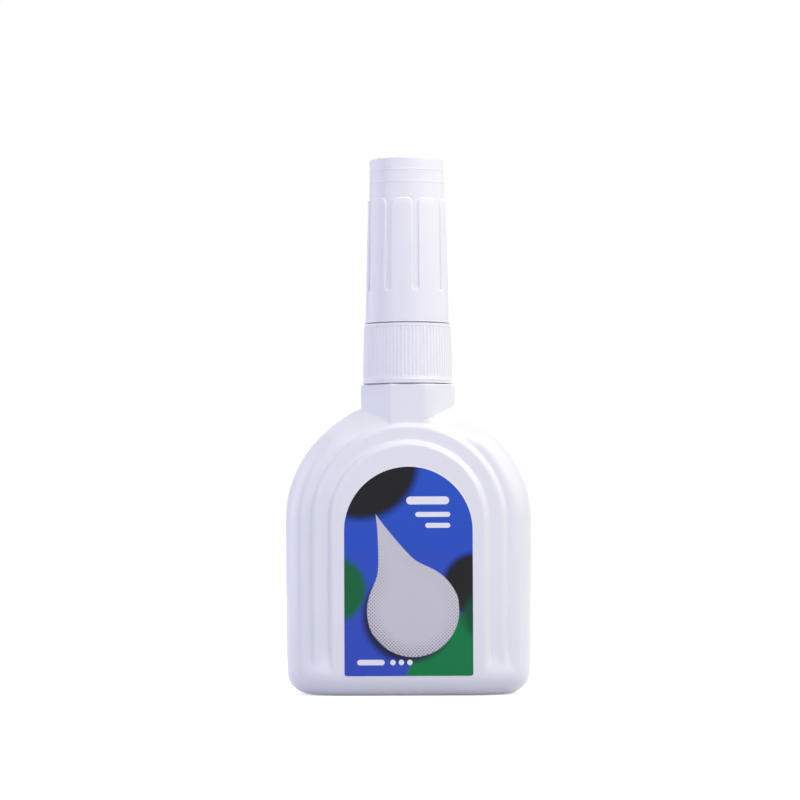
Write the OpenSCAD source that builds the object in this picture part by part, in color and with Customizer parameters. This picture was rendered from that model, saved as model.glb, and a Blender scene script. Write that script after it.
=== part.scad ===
// Correction fluid bottle: a flat blow-moulded bottle with stepped arches on both faces,
// a ribbed nozzle holder with a sprung metal tip, and a fluted pull-off cap.
// Millimetres. Origin in the middle of the base, +Z up, and the label faces -Y.

/* [Bottle] */
// Width across the arch
body_w = 50; // [44:0.5:60]
// Thickness between the front and back centre panels
body_t = 21.6; // [20:0.2:26]
// Height of the arch's centre above the base
arch_z = 35.3; // [30:0.1:55]
// Thickness of the blown wall
wall = 1.2; // [0.8:0.1:1.5]

/* [Stepped arches] */
// Height of each of the two steps
step_h = 1.15; // [0.8:0.05:1.3]
// Width of the curved face between two treads
riser_w = 1.6; // [1.4:0.1:2]
// Rounding at the top of each riser
riser_r = 1.1; // [0.9:0.05:1.1]
// From the side of the bottle to the middle of the outer riser
outer_tread_w = 5.5; // [5.2:0.1:6.5]
// From the middle of the outer riser to the middle of the inner one
inner_tread_w = 3.6; // [3:0.1:4.2]
// Rounding between the outer tread and the side
roll_r = 2.8; // [2.2:0.1:3.2]
// Width of the rounded side, seen from the front
roll_w = 4.65; // [4.2:0.05:5]

/* [Base] */
// Flat left at each end of the base band, seen from below
band_flat = 3.6; // [3:0.1:6]
// Rounding of the bottle's lower edge, up to the band's widest line
base_edge_r = 3.6; // [3:0.1:4]
// Rounding of the band's top, which closes the lower ends of the treads
band_top_r = 1.4; // [1:0.1:1.6]
// Depth of the hollow under the base
recess_h = 0.6; // [0.4:0.1:1]
// Width of the rim that the bottle stands on
foot_w = 1.5; // [1.1:0.1:2]

/* [Neck] */
// Width of the eight-sided neck block
block_w = 19.1; // [18.6:0.1:20]
// Depth of the neck block, front to back
block_d = 17.8; // [17.2:0.1:18]
// Size of the block's corner cuts
block_cut = 6.1; // [5.7:0.1:6.3]
// How far the block's front face runs down from the top of the arch
block_drop = 5.3; // [4.8:0.1:5.6]
// How far the block rises above the top of the arch
block_rise = 2.4; // [1.6:0.1:5]
// Radius of the round neck above the block
neck_r = 7.6; // [7.2:0.05:7.7]
// Wall of the round neck
neck_wall = 1.3; // [1:0.1:1.6]
// Height of the round neck
neck_h = 10.2; // [9.5:0.1:14]
// Radius of the snap bead round the neck
bead_r = 0.45; // [0.3:0.05:0.5]
// Height of the snap bead above the block
bead_z = 3.4; // [2.5:0.1:5]
// Thickness of the gasket on the neck's rim
gasket_t = 0.6; // [0.4:0.1:1]

/* [Nozzle holder] */
// Wall of the holder round the neck, at its foot
foot_wall = 1.6; // [1.5:0.05:2]
// Wall of the holder round the neck, at its shoulder
shoulder_wall = 1.25; // [1.2:0.05:1.5]
// Thickness of the holder over the gasket
holder_top_t = 1.7; // [1.4:0.1:2.5]
// Gap between the neck block and the holder
block_gap = 0.3; // [0.2:0.05:0.5]
// Number of grip ribs
rib_n = 72; // [60:2:80]
// Depth of the grooves between the ribs
rib_d = 0.22; // [0.18:0.02:0.3]
// Height of the plain band below the ribs
rib_foot = 1.4; // [1:0.1:2]
// Height of the plain rim above the ribs
rib_head = 0.7; // [0.5:0.1:1.2]
// How far the thin bead on the plain band stands out
band_bead_d = 0.12; // [0.08:0.02:0.2]
// Radius of the collar that the cap grips
spigot_r = 6.9; // [6.7:0.05:7]
// Height of the collar that the cap grips
spigot_h = 4.5; // [3.5:0.1:5.5]
// Radius at the foot of the nose
nose_r0 = 5.6; // [5.2:0.1:6]
// Radius at the top of the nose
nose_r1 = 3; // [2.7:0.05:3.2]
// Wall of the nose at its foot
nose_wall = 1.5; // [1.2:0.1:2]
// Height of the nose above the collar
nose_h = 16.8; // [15:0.2:19]
// Depth of the plug ring inside the neck
plug_h = 3; // [2:0.2:5]
// Thickness of the plug ring
plug_t = 1; // [0.8:0.1:1.2]

/* [Metal tip] */
// Radius of the tip's shank in the nose
shank_r = 2; // [1.8:0.05:2.2]
// Length of the shank
shank_l = 6.5; // [6:0.1:8]
// Radius of the flange on the nose
flange_r = 2.6; // [2.5:0.05:2.65]
// Thickness of the flange
flange_t = 0.6; // [0.4:0.05:0.8]
// Height of the tip's cone
tip_cone_h = 3.5; // [3:0.1:4.5]
// Outer radius of the writing tube
tube_r = 0.95; // [0.8:0.05:1.1]
// Length of the writing tube
tube_l = 2.8; // [2:0.1:4]
// Radius of the hole through the writing tube
tip_hole_r = 0.5; // [0.4:0.05:0.6]
// Radius of the chamber inside the shank
chamber_r = 1.35; // [1.3:0.05:1.45]
// Length of the valve seat's cone
seat_h = 1.2; // [1:0.1:1.5]
// How far below the writing tube the valve seat ends
seat_drop = 1.2; // [0.9:0.1:1.5]
// Thickness of the sealing ring under the flange
seal_t = 0.5; // [0.4:0.05:0.7]

/* [Valve] */
// Clearance round the needle in the writing tube
needle_fit = 0.05; // [0.03:0.01:0.08]
// How far the needle stands out of the tube
needle_out = 0.8; // [0.6:0.05:1]
// Clearance round the needle's head
head_gap = 0.2; // [0.15:0.05:0.25]
// Length of the needle's head below its cone
head_h = 1.4; // [1:0.1:2]
// Radius of the needle's tail
tail_r = 0.7; // [0.6:0.05:0.75]
// Clearance round the tail in the retainer
tail_fit = 0.08; // [0.05:0.01:0.1]
// Radius of the spring's wire
wire_r = 0.12; // [0.1:0.01:0.14]
// Number of turns of the spring
spring_turns = 6; // [4:1:8]
// Height of the spring retainer
retainer_h = 3.2; // [2.6:0.1:4]
// Width of the retainer's flow slots
slot_w = 0.7; // [0.5:0.05:0.9]
// Depth of the flow slots
slot_d = 0.55; // [0.3:0.05:0.7]

/* [Cap] */
// Radius at the cap's mouth
cap_r0 = 8.7; // [8.5:0.05:8.8]
// Radius at the top of the raised panels
cap_r1 = 8.1; // [8.05:0.05:8.3]
// Radius at the cap's top
cap_top_r = 7.72; // [7.6:0.02:7.8]
// Rounding of the cap's top edge
cap_edge_r = 0.5; // [0.3:0.05:0.8]
// Height of the plain top above the panels
crown_h = 8.3; // [6:0.1:9]
// Height of the plain band below the grooves
skirt_h = 6.5; // [5:0.1:9]
// Gap between the cap and the holder's shoulder
cap_gap = 0.2; // [0.15:0.05:0.3]
// Number of grooves between the panels
groove_n = 9; // [6:1:12]
// Width of each groove
groove_w = 1.2; // [0.8:0.1:1.6]
// Angle of one groove to the right of the front
groove_turn = 12.9; // [0:0.1:40]
// Rounding of the panels' upper corners
panel_corner_r = 1.15; // [0.8:0.05:1.4]
// How far the two fine rings stand out
ring_d = 0.13; // [0.08:0.01:0.2]
// Distance of the upper ring below the top
ring_z1 = 2.5; // [2:0.1:3.2]
// Distance of the lower ring below the top
ring_z2 = 4.95; // [4:0.05:6]
// Bevel along the panels' upper edge
panel_edge = 0.2; // [0.1:0.05:0.3]
// Clearance round the collar in the cap's mouth
cap_fit = 0.08; // [0.05:0.01:0.1]
// Depth of the cap's mouth past the collar
mouth_spare = 1; // [0.5:0.1:2]
// Height of the cone from the mouth to the bore
mouth_cone_h = 1; // [0.5:0.1:2]
// How much wider the bore is at its foot than at its top
bore_draft = 0.2; // [0.1:0.05:0.3]
// Thickness of the cap's wall at the top
cap_wall = 1.35; // [1.1:0.05:1.6]
// Thickness of the cap's end
cap_end = 1.6; // [1.2:0.1:2]
// Radius of the soft pad over the tip
pad_r = 2.6; // [2.2:0.1:3.2]
// Thickness of the soft pad
pad_t = 2.3; // [1.5:0.1:5]
// Gap between the needle and the pad
pad_gap = 0.3; // [0.2:0.05:0.5]

/* [Label and contents] */
// From the middle of the inner riser to the side of the label
label_gap = 3; // [2.2:0.1:5]
// How far the centre of the label's arch lies below the centre of the bottle's
label_drop = 2.1; // [1:0.1:4]
// Height of the label's lower edge above the base
label_z = 4.2; // [4:0.1:8]
// Thickness of the label film
label_t = 0.1; // [0.06:0.01:0.2]
// Radius of the label's lower corners
label_corner_r = 0.5; // [0.3:0.1:2]
// Radius of the mixing ball
ball_r = 3; // [2:0.1:4]
// Height of the fluid above the base
fluid_z = 28; // [12:0.5:30]

/* [Hidden] */
$fn = 96;

// Clearance between pieces that are pressed or stuck together
snug = 0.03;
// Clearance between a seal and the moving part that closes on it
seat_gap = 0.08;
// Overlap that makes two unions or cuts certain
eps = 0.01;
// Radius of the round section of the fine rings and beads
ring_r = 0.25;
// The straight sides start this far below the base band's widest line
lap = 0.05;

body_r = body_w / 2;
arch_top = arch_z + body_r;
panel_d = body_t / 2;
mid_tread_d = panel_d - step_h;
outer_tread_d = mid_tread_d - step_h;
outer_riser = body_r - outer_tread_w;
inner_riser = outer_riser - inner_tread_w;
// The side's own bulge is the arc that meets the roll's end on both faces. It is tighter than
// the arc that would touch the roll by this much, so that the two arcs cross cleanly
bulge_cross = 0.03;
roll_rise = outer_tread_d - roll_r;
side_r = (pow(roll_rise, 2) + pow(roll_w, 2) - pow(roll_r, 2)) / (2 * (roll_w - roll_r))
    - bulge_cross;

// The sides lean in by this much above the base band
side_draft = 0.3;
side_slope = 0.0375;
// The band's widest line stands out by this much all round, as a fine crease
band_lip = 0.02;
band_x = body_r - side_draft + band_lip;
band_y = panel_d + band_lip;
band_r = band_y - band_flat / 2;
floor_z = recess_h + wall;

block_top = arch_top + block_rise;
block_foot = arch_top - block_drop;
neck_top = block_top + neck_h;
neck_bore = neck_r - neck_wall;

holder_r0 = neck_r + foot_wall;
holder_r1 = neck_r + shoulder_wall;
holder_z0 = block_top + block_gap;
ceiling_z = neck_top + gasket_t;
holder_z1 = ceiling_z + holder_top_t;
spigot_top = holder_z1 + spigot_h;
nose_top = spigot_top + nose_h;
socket_z = nose_top - shank_l - retainer_h;

flange_z = nose_top + seal_t;
cone_z = flange_z + flange_t;
tube_z = cone_z + tip_cone_h;
tip_top = tube_z + tube_l;
shank_z = nose_top - shank_l;
seat_top = tube_z - seat_drop;
seat_z = seat_top - seat_h;

needle_r = tip_hole_r - needle_fit;
needle_top = tip_top + needle_out;
head_r = chamber_r - head_gap;
head_top = seat_z - seat_gap;
head_z = head_top - head_h;
retainer_z = shank_z - retainer_h;
// The spring runs midway between the needle's tail and the chamber's wall
spring_r = (tail_r + chamber_r) / 2;

cap_z = holder_z1 + cap_gap;
pad_z = needle_top + pad_gap;
cap_inner_top = pad_z + pad_t;
cap_top = cap_inner_top + cap_end;
panel_top = cap_top - crown_h;
groove_z = cap_z + skirt_h;
// The cap's core widens towards its mouth by this much for each millimetre
cap_slope = 0.0145;

label_r = inner_riser - label_gap;
label_arch_z = arch_z - label_drop - label_z;

// The cap's plain core, which shows above the panels and at the bottom of the grooves
function core_r(z) = cap_top_r + (cap_top - z) * cap_slope;

// The holder's outside, which widens towards its foot
function holder_r(z) = holder_r0 + (holder_r1 - holder_r0) * (z - holder_z0) / (holder_z1 - holder_z0);

// One step of the arches: x outwards from the arch's axis, y the half depth of the bottle
module tier(mid, top) {
    turn = 2 * atan(step_h / riser_w);
    reach = riser_w / sin(turn);
    crest = [mid - riser_r * sin(turn), top - riser_r];
    hollow = crest + reach * [sin(turn), cos(turn)];
    square([crest[0], top]);
    translate(crest) circle(riser_r);
    difference() {
        polygon([[crest[0], 0], [hollow[0], 0], hollow, crest]);
        translate(hollow) circle(reach - riser_r);
    }
}

// The outer tread and the rounded side
module side_roll(inset) {
    centre = body_r - side_r;
    start = body_r - roll_w;
    far = 2 * side_r;
    square([start, outer_tread_d - inset]);
    translate([start, roll_rise]) circle(roll_r - inset);
    intersection() {
        translate([centre, 0]) circle(side_r - inset);
        polygon([[centre, 0], [centre + far, 0],
                 [centre + far, far * roll_rise / (start - centre)]]);
    }
}

// Half of the bottle's section, on one side of the arch's axis
module half_section(inset) {
    // The blown wall follows the steps a little less sharply inside
    follow = 0.8;
    shift = inset * follow;
    for (flip = [0, 1]) mirror([0, flip]) {
        side_roll(inset);
        tier(outer_riser - shift, mid_tread_d - inset);
        tier(inner_riser - shift, panel_d - inset);
    }
}

// The arch above its centre, and the straight sides below, which lean in towards the base
module arch_form(inset, foot) {
    low = body_r - side_draft - inset - side_slope * foot;
    high = low + side_slope * arch_top;
    translate([0, 0, arch_z]) rotate([90, 0, 0])
        rotate_extrude(angle = 180) half_section(inset);
    intersection() {
        translate([0, 0, foot]) linear_extrude(arch_z - foot)
            for (flip = [0, 1]) mirror([flip, 0]) half_section(inset);
        rotate([90, 0, 0]) linear_extrude(2 * body_t, center = true)
            polygon([[-low, 0], [low, 0], [high, arch_top], [-high, arch_top]]);
    }
}

// Rectangle with round corners, centred
module round_plan(half_x, half_y, r) {
    square([2 * (half_x - r), 2 * half_y], center = true);
    square([2 * half_x, 2 * (half_y - r)], center = true);
    for (x = [-1, 1], y = [-1, 1])
        translate([x * (half_x - r), y * (half_y - r)]) circle(r);
}

// Upright edge with a round foot and, if high_r isn't 0, a round top
module band_edge(reach, low_r, high_r) {
    square([reach - low_r, low_r]);
    intersection() {
        translate([reach - low_r, low_r]) circle(low_r);
        square([reach, low_r]);
    }
    if (high_r > 0) translate([0, low_r]) {
        square([reach - high_r, high_r]);
        intersection() {
            translate([reach - high_r, 0]) circle(high_r);
            square([reach, high_r]);
        }
    }
}

// Slab with round corners and the same round edge all the way round
module band(half_x, half_y, r, low_r, high_r) {
    rotate([90, 0, 90]) linear_extrude(2 * (half_x - r), center = true)
        for (flip = [0, 1]) mirror([flip, 0]) band_edge(half_y, low_r, high_r);
    rotate([90, 0, 0]) linear_extrude(2 * (half_y - r), center = true)
        for (flip = [0, 1]) mirror([flip, 0]) band_edge(half_x, low_r, high_r);
    for (corner = [[1, 1, 0], [-1, 1, 90], [-1, -1, 180], [1, -1, 270]])
        translate([corner[0] * (half_x - r), corner[1] * (half_y - r), 0])
            rotate([0, 0, corner[2]]) rotate_extrude(angle = 90) band_edge(r, low_r, high_r);
}

module block_outline(inset) {
    x = block_w / 2 - inset;
    y = block_d / 2 - inset;
    // A corner cut moves in with the wall, so its run gets shorter by this share
    cut = block_cut - inset * (2 - sqrt(2));
    polygon([[x, y - cut], [x - cut, y], [cut - x, y], [-x, y - cut],
             [-x, cut - y], [cut - x, -y], [x - cut, -y], [x, cut - y]]);
}

module bottle_body() {
    color("ghostwhite") difference() {
        union() {
            arch_form(0, base_edge_r - lap);
            band(band_x, band_y, band_r, base_edge_r, band_top_r);
            translate([0, 0, block_foot])
                linear_extrude(block_top - block_foot) block_outline(0);
            translate([0, 0, block_foot]) cylinder(h = neck_top - block_foot, r = neck_r);
            translate([0, 0, block_top + bead_z])
                rotate_extrude() translate([neck_r, 0]) circle(bead_r);
        }
        inner_space(wall);
        translate([0, 0, block_foot])
            linear_extrude(block_top - wall - block_foot) block_outline(wall);
        translate([0, 0, block_foot])
            cylinder(h = neck_top - block_foot + eps, r = neck_bore);
        translate([0, 0, -eps]) linear_extrude(recess_h + eps)
            round_plan(band_x - base_edge_r - foot_w, band_y - base_edge_r - foot_w,
                       band_r - base_edge_r - foot_w);
    }
}

// The room inside the bottle below its neck
module inner_space(inset) {
    lift = floor_z + inset - wall;
    edge_r = base_edge_r - inset;
    arch_form(inset, lift + edge_r - lap);
    translate([0, 0, lift])
        band(band_x - inset, band_y - inset, band_r - inset, edge_r, 0);
}

module front_label() {
    low_half = label_r - label_corner_r;
    color("royalblue") translate([0, -panel_d, label_z]) rotate([90, 0, 0])
        linear_extrude(label_t) {
            translate([0, label_arch_z]) circle(label_r);
            translate([-label_r, label_corner_r])
                square([2 * label_r, label_arch_z - label_corner_r]);
            translate([-low_half, 0]) square([2 * low_half, label_arch_z]);
            for (side = [-1, 1]) translate([side * low_half, label_corner_r])
                circle(label_corner_r);
        }
}

module mixing_ball() {
    color("silver") translate([0, 0, floor_z + ball_r + 2 * snug]) sphere(ball_r);
}

module correction_fluid() {
    color("white") difference() {
        intersection() {
            inner_space(wall + snug);
            translate([-body_w, -body_t, 0]) cube([2 * body_w, 2 * body_t, fluid_z]);
        }
        translate([0, 0, floor_z + ball_r + 2 * snug]) sphere(ball_r + snug);
    }
}

module neck_gasket() {
    color("dimgray") translate([0, 0, neck_top]) difference() {
        cylinder(h = gasket_t, r = neck_r - snug);
        translate([0, 0, -eps]) cylinder(h = gasket_t + 2 * eps, r = neck_bore + snug);
    }
}

module nozzle_holder() {
    plug_r = neck_bore - 2 * snug;
    // Ledge in the nose that the spring retainer rests on
    socket_ledge = 0.4;
    plug_z = ceiling_z - gasket_t - plug_h;
    lean = atan((holder_r0 - holder_r1) / (holder_z1 - holder_z0));
    rib_z0 = holder_z0 + rib_foot;
    rib_z1 = holder_z1 - rib_head;
    color("ghostwhite") difference() {
        union() {
            rotate_extrude() polygon([
                [neck_r + snug, holder_z0], [holder_r0, holder_z0], [holder_r1, holder_z1],
                [spigot_r, holder_z1], [spigot_r, spigot_top], [nose_r0, spigot_top],
                [nose_r1, nose_top], [shank_r + snug, nose_top], [shank_r + snug, socket_z],
                [shank_r - socket_ledge, socket_z], [nose_r0 - nose_wall, spigot_top],
                [plug_r - plug_t, ceiling_z], [plug_r - plug_t, plug_z], [plug_r, plug_z],
                [plug_r, ceiling_z], [neck_r + snug, ceiling_z]]);
            translate([0, 0, holder_z0 + rib_foot / 2]) rotate_extrude()
                translate([holder_r(holder_z0 + rib_foot / 2) + band_bead_d - ring_r, 0])
                    circle(ring_r);
        }
        translate([0, 0, block_top + bead_z])
            rotate_extrude() translate([neck_r, 0]) circle(bead_r + snug);
        for (i = [0 : rib_n - 1]) rotate([0, 0, i * 360 / rib_n])
            translate([holder_r(rib_z0), 0, rib_z0]) rotate([0, -lean, 0])
                linear_extrude(rib_z1 - rib_z0)
                    rotate(45) square(rib_d * sqrt(2), center = true);
    }
}

module tip_seal() {
    color("dimgray") translate([0, 0, nose_top]) difference() {
        cylinder(h = seal_t, r = flange_r);
        translate([0, 0, -eps]) cylinder(h = seal_t + 2 * eps, r = shank_r + snug);
    }
}

module metal_tip() {
    color("silver") rotate_extrude() polygon([
        [chamber_r, shank_z], [shank_r, shank_z], [shank_r, flange_z], [flange_r, flange_z],
        [flange_r, cone_z], [shank_r, cone_z], [tube_r, tube_z], [tube_r, tip_top],
        [tip_hole_r, tip_top], [tip_hole_r, seat_top], [chamber_r, seat_z]]);
}

module spring_retainer() {
    color("white") translate([0, 0, retainer_z]) difference() {
        cylinder(h = retainer_h - snug, r = shank_r);
        translate([0, 0, -eps]) cylinder(h = retainer_h + 2 * eps, r = tail_r + tail_fit);
        for (turn = [0, 90, 180, 270]) rotate([0, 0, turn])
            translate([shank_r - slot_d, -slot_w / 2, -eps])
                cube([2 * slot_d, slot_w, retainer_h + 2 * eps]);
    }
}

// Helix of the spring's wire, with its two ends laid flat
module valve_spring() {
    steps = 16;
    sides = 8;
    low = retainer_z + retainer_h + wire_r;
    high = head_z - wire_r - seat_gap;
    count = spring_turns * steps;
    // The first and last turns lie flat
    function rise(i) = min(1, max(0, (i - steps) / (count - 2 * steps)));
    function ring(i) = [for (k = [0 : sides - 1])
        let (a = i * 360 / steps, b = k * 360 / sides,
             r = spring_r + wire_r * cos(b),
             z = low + 2 * wire_r * (min(i, steps) + max(0, i - count + steps)) / steps
                 + (high - low - 4 * wire_r) * rise(i) + wire_r * sin(b))
        [r * cos(a), r * sin(a), z]];
    points = [for (i = [0 : count]) each ring(i)];
    walls = [for (i = [0 : count - 1], k = [0 : sides - 1])
        let (next = (k + 1) % sides)
        [i * sides + k, (i + 1) * sides + k, (i + 1) * sides + next, i * sides + next]];
    start = [for (k = [0 : sides - 1]) k];
    end = [for (k = [sides - 1 : -1 : 0]) count * sides + k];
    color("silver") polyhedron(points, concat(walls, [start, end]), convexity = 10);
}

module valve_needle() {
    cone_top = seat_top - seat_gap;
    // The tail ends midway down the retainer
    tail_z = retainer_z + retainer_h / 2;
    // The needle's end is broken by two cones that meet this far in from its radius
    end_cut = needle_r * 0.3;
    color("silver") rotate_extrude() polygon([
        [0, tail_z], [tail_r, tail_z], [tail_r, head_z], [head_r, head_z],
        [head_r, head_top], [needle_r, cone_top - head_gap],
        [needle_r, needle_top - needle_r], [needle_r - end_cut, needle_top - end_cut],
        [0, needle_top]]);
}

// One groove seen from the front: round at its foot, flared at its open top
module groove_outline() {
    half = groove_w / 2;
    flare = half + panel_corner_r;
    translate([0, groove_z + half]) circle(half);
    translate([-half, groove_z + half]) square([groove_w, panel_top - groove_z]);
    difference() {
        translate([-flare, panel_top - panel_corner_r])
            square([2 * flare, panel_corner_r + 1]);
        for (side = [-1, 1]) translate([side * flare, panel_top - panel_corner_r])
            circle(panel_corner_r);
    }
}

module cap() {
    mouth_r = spigot_r + cap_fit;
    // The mouth is a little deeper than the collar, and then narrows to the bore
    mouth_z = cap_z + spigot_h + mouth_spare;
    inner_r = cap_top_r - cap_wall;
    pad_ring_t = 1;
    // The pad stands out of its ring by this much
    pad_show = 0.3;
    color("ghostwhite") difference() {
        union() {
            // Core, with a round top edge
            rotate_extrude() {
                polygon([[0, cap_z], [core_r(cap_z), cap_z], [cap_top_r, cap_top - cap_edge_r],
                         [cap_top_r - cap_edge_r, cap_top], [0, cap_top]]);
                translate([cap_top_r - cap_edge_r, cap_top - cap_edge_r]) circle(cap_edge_r);
            }
            // Raised panels, parted by the grooves
            difference() {
                rotate_extrude() polygon([
                    [0, cap_z], [cap_r0, cap_z], [cap_r1, panel_top - panel_edge],
                    [cap_r1 - panel_edge, panel_top], [0, panel_top]]);
                for (i = [0 : groove_n - 1])
                    rotate([0, 0, groove_turn + i * 360 / groove_n])
                        translate([0, -spigot_r, 0]) rotate([90, 0, 0])
                            linear_extrude(cap_r0) groove_outline();
            }
            for (drop = [ring_z1, ring_z2]) translate([0, 0, cap_top - drop])
                rotate_extrude() translate([core_r(cap_top - drop) + ring_d - ring_r, 0])
                    circle(ring_r);
        }
        difference() {
            rotate_extrude() polygon([
                [0, cap_z - eps], [mouth_r, cap_z - eps], [mouth_r, mouth_z],
                [inner_r + bore_draft, mouth_z + mouth_cone_h], [inner_r, cap_inner_top],
                [0, cap_inner_top]]);
            // Ring that holds the soft pad
            translate([0, 0, pad_z + pad_show]) difference() {
                cylinder(h = pad_t, r = pad_r + pad_ring_t);
                translate([0, 0, -eps]) cylinder(h = pad_t + 2 * eps, r = pad_r + snug);
            }
        }
    }
}

module cap_seal() {
    color("lightgray") translate([0, 0, pad_z]) cylinder(h = pad_t, r = pad_r);
}

bottle_body();
front_label();
mixing_ball();
correction_fluid();
neck_gasket();
nozzle_holder();
tip_seal();
metal_tip();
spring_retainer();
valve_spring();
valve_needle();
cap();
cap_seal();
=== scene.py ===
"""Correction fluid bottle: fine shapes, finishes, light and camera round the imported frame.

The frame is in metres, with +Z up, the origin in the middle of the base and the label facing -Y.
Sizes in this file are millimetres, and each finished piece is brought to metres at the end.
"""
import logging
import math
from collections.abc import Callable, Iterable, Iterator, Sequence
from contextlib import contextmanager
from dataclasses import dataclass, field
from enum import Enum

import bmesh
import bpy
from bpy.types import Material, Node, NodeSocket, NodeTree, Object
from mathutils import Matrix, Vector

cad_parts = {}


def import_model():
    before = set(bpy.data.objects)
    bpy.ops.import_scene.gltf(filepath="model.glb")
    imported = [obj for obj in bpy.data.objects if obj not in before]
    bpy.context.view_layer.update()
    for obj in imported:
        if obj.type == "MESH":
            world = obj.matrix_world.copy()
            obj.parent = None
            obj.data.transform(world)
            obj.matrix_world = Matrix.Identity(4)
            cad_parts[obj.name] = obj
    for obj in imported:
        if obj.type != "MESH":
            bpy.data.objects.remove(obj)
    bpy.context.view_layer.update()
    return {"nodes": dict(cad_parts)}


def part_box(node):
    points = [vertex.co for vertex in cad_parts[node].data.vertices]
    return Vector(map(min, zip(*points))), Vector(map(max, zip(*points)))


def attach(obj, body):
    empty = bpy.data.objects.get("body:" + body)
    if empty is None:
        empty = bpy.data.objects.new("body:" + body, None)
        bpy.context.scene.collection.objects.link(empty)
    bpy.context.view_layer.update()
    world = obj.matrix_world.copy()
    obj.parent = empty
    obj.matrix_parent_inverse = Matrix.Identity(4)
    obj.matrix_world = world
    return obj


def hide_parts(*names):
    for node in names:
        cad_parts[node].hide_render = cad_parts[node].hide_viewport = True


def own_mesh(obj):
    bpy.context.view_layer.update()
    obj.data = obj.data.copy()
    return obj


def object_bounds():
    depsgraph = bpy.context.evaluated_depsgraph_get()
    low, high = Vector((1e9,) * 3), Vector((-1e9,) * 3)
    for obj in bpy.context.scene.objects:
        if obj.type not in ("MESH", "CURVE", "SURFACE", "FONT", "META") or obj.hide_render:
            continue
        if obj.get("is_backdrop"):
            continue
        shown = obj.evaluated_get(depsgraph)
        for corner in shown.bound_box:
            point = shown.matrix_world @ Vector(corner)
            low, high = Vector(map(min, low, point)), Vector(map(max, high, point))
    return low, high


LOG = logging.getLogger("correction_fluid_bottle")
MM = 0.001
# Two points closer than this, in millimetres, are one point
WELD = 0.0005
# Edges sharper than this, in degrees, stay crisp
CREASE = 35
Point = tuple[float, float]


class Body(Enum):
    """The moving bodies of the frame."""

    BOTTLE = "bottle"
    NEEDLE = "needle"
    CAP = "cap"


class Pick(Enum):
    """What is selected in edit mode."""

    POINTS = "VERT"
    EDGES = "EDGE"
    FACES = "FACE"


def arc(centre: Point, radius: float, start: float, end: float, steps: int) -> list[Point]:
    """Points along a circular arc.

    Args:
        centre: Centre of the arc.
        radius: Radius of the arc.
        start: First angle, in degrees, anticlockwise from +X.
        end: Last angle, in degrees.
        steps: Number of chords.

    Returns:
        The points, both ends included.
    """
    angles = [math.radians(start + (end - start) * i / steps) for i in range(steps + 1)]
    return [(centre[0] + radius * math.cos(a), centre[1] + radius * math.sin(a)) for a in angles]


def rounded(corners: Sequence[tuple[float, ...]], steps: int = 4, closed: bool = True) -> list[Point]:
    """An outline whose corners are rounded by arcs.

    Args:
        corners: Each corner as (x, y) or (x, y, radius).
        steps: Number of chords in each arc.
        closed: Whether the last corner joins the first one.

    Returns:
        The outline's points.
    """
    points: list[Point] = []
    count = len(corners)
    for i, corner in enumerate(corners):
        here = Vector(corner[:2])
        inner = closed or 0 < i < count - 1
        if len(corner) < 3 or corner[2] <= 0 or not inner:
            points.append((here.x, here.y))
            continue
        before = (Vector(corners[i - 1][:2]) - here).normalized()
        after = (Vector(corners[(i + 1) % count][:2]) - here).normalized()
        half = before.angle(after) / 2
        centre = here + (before + after).normalized() * corner[2] / math.sin(half)
        first = here + before * corner[2] / math.tan(half) - centre
        turn = first.angle_signed(here + after * corner[2] / math.tan(half) - centre)
        for k in range(steps + 1):
            spoke = Matrix.Rotation(-turn * k / steps, 2) @ first
            points.append((centre.x + spoke.x, centre.y + spoke.y))
    return points


def smooth_min(a: float, b: float, width: float) -> float:
    """The smaller of two values, blended where they are close.

    Args:
        a: One value.
        b: The other value.
        width: The blend begins where they are closer than this.

    Returns:
        The smaller value, or a little less inside the blend.
    """
    if width <= 0:
        return min(a, b)
    near = max(width - abs(a - b), 0) / width
    return min(a, b) - near * near * width / 4


def smooth_step(low: float, high: float, value: float) -> float:
    """0 below low, 1 above high, and a smooth rise between them."""
    share = min(1.0, max(0.0, (value - low) / (high - low)))
    return share * share * (3 - 2 * share)


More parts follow.
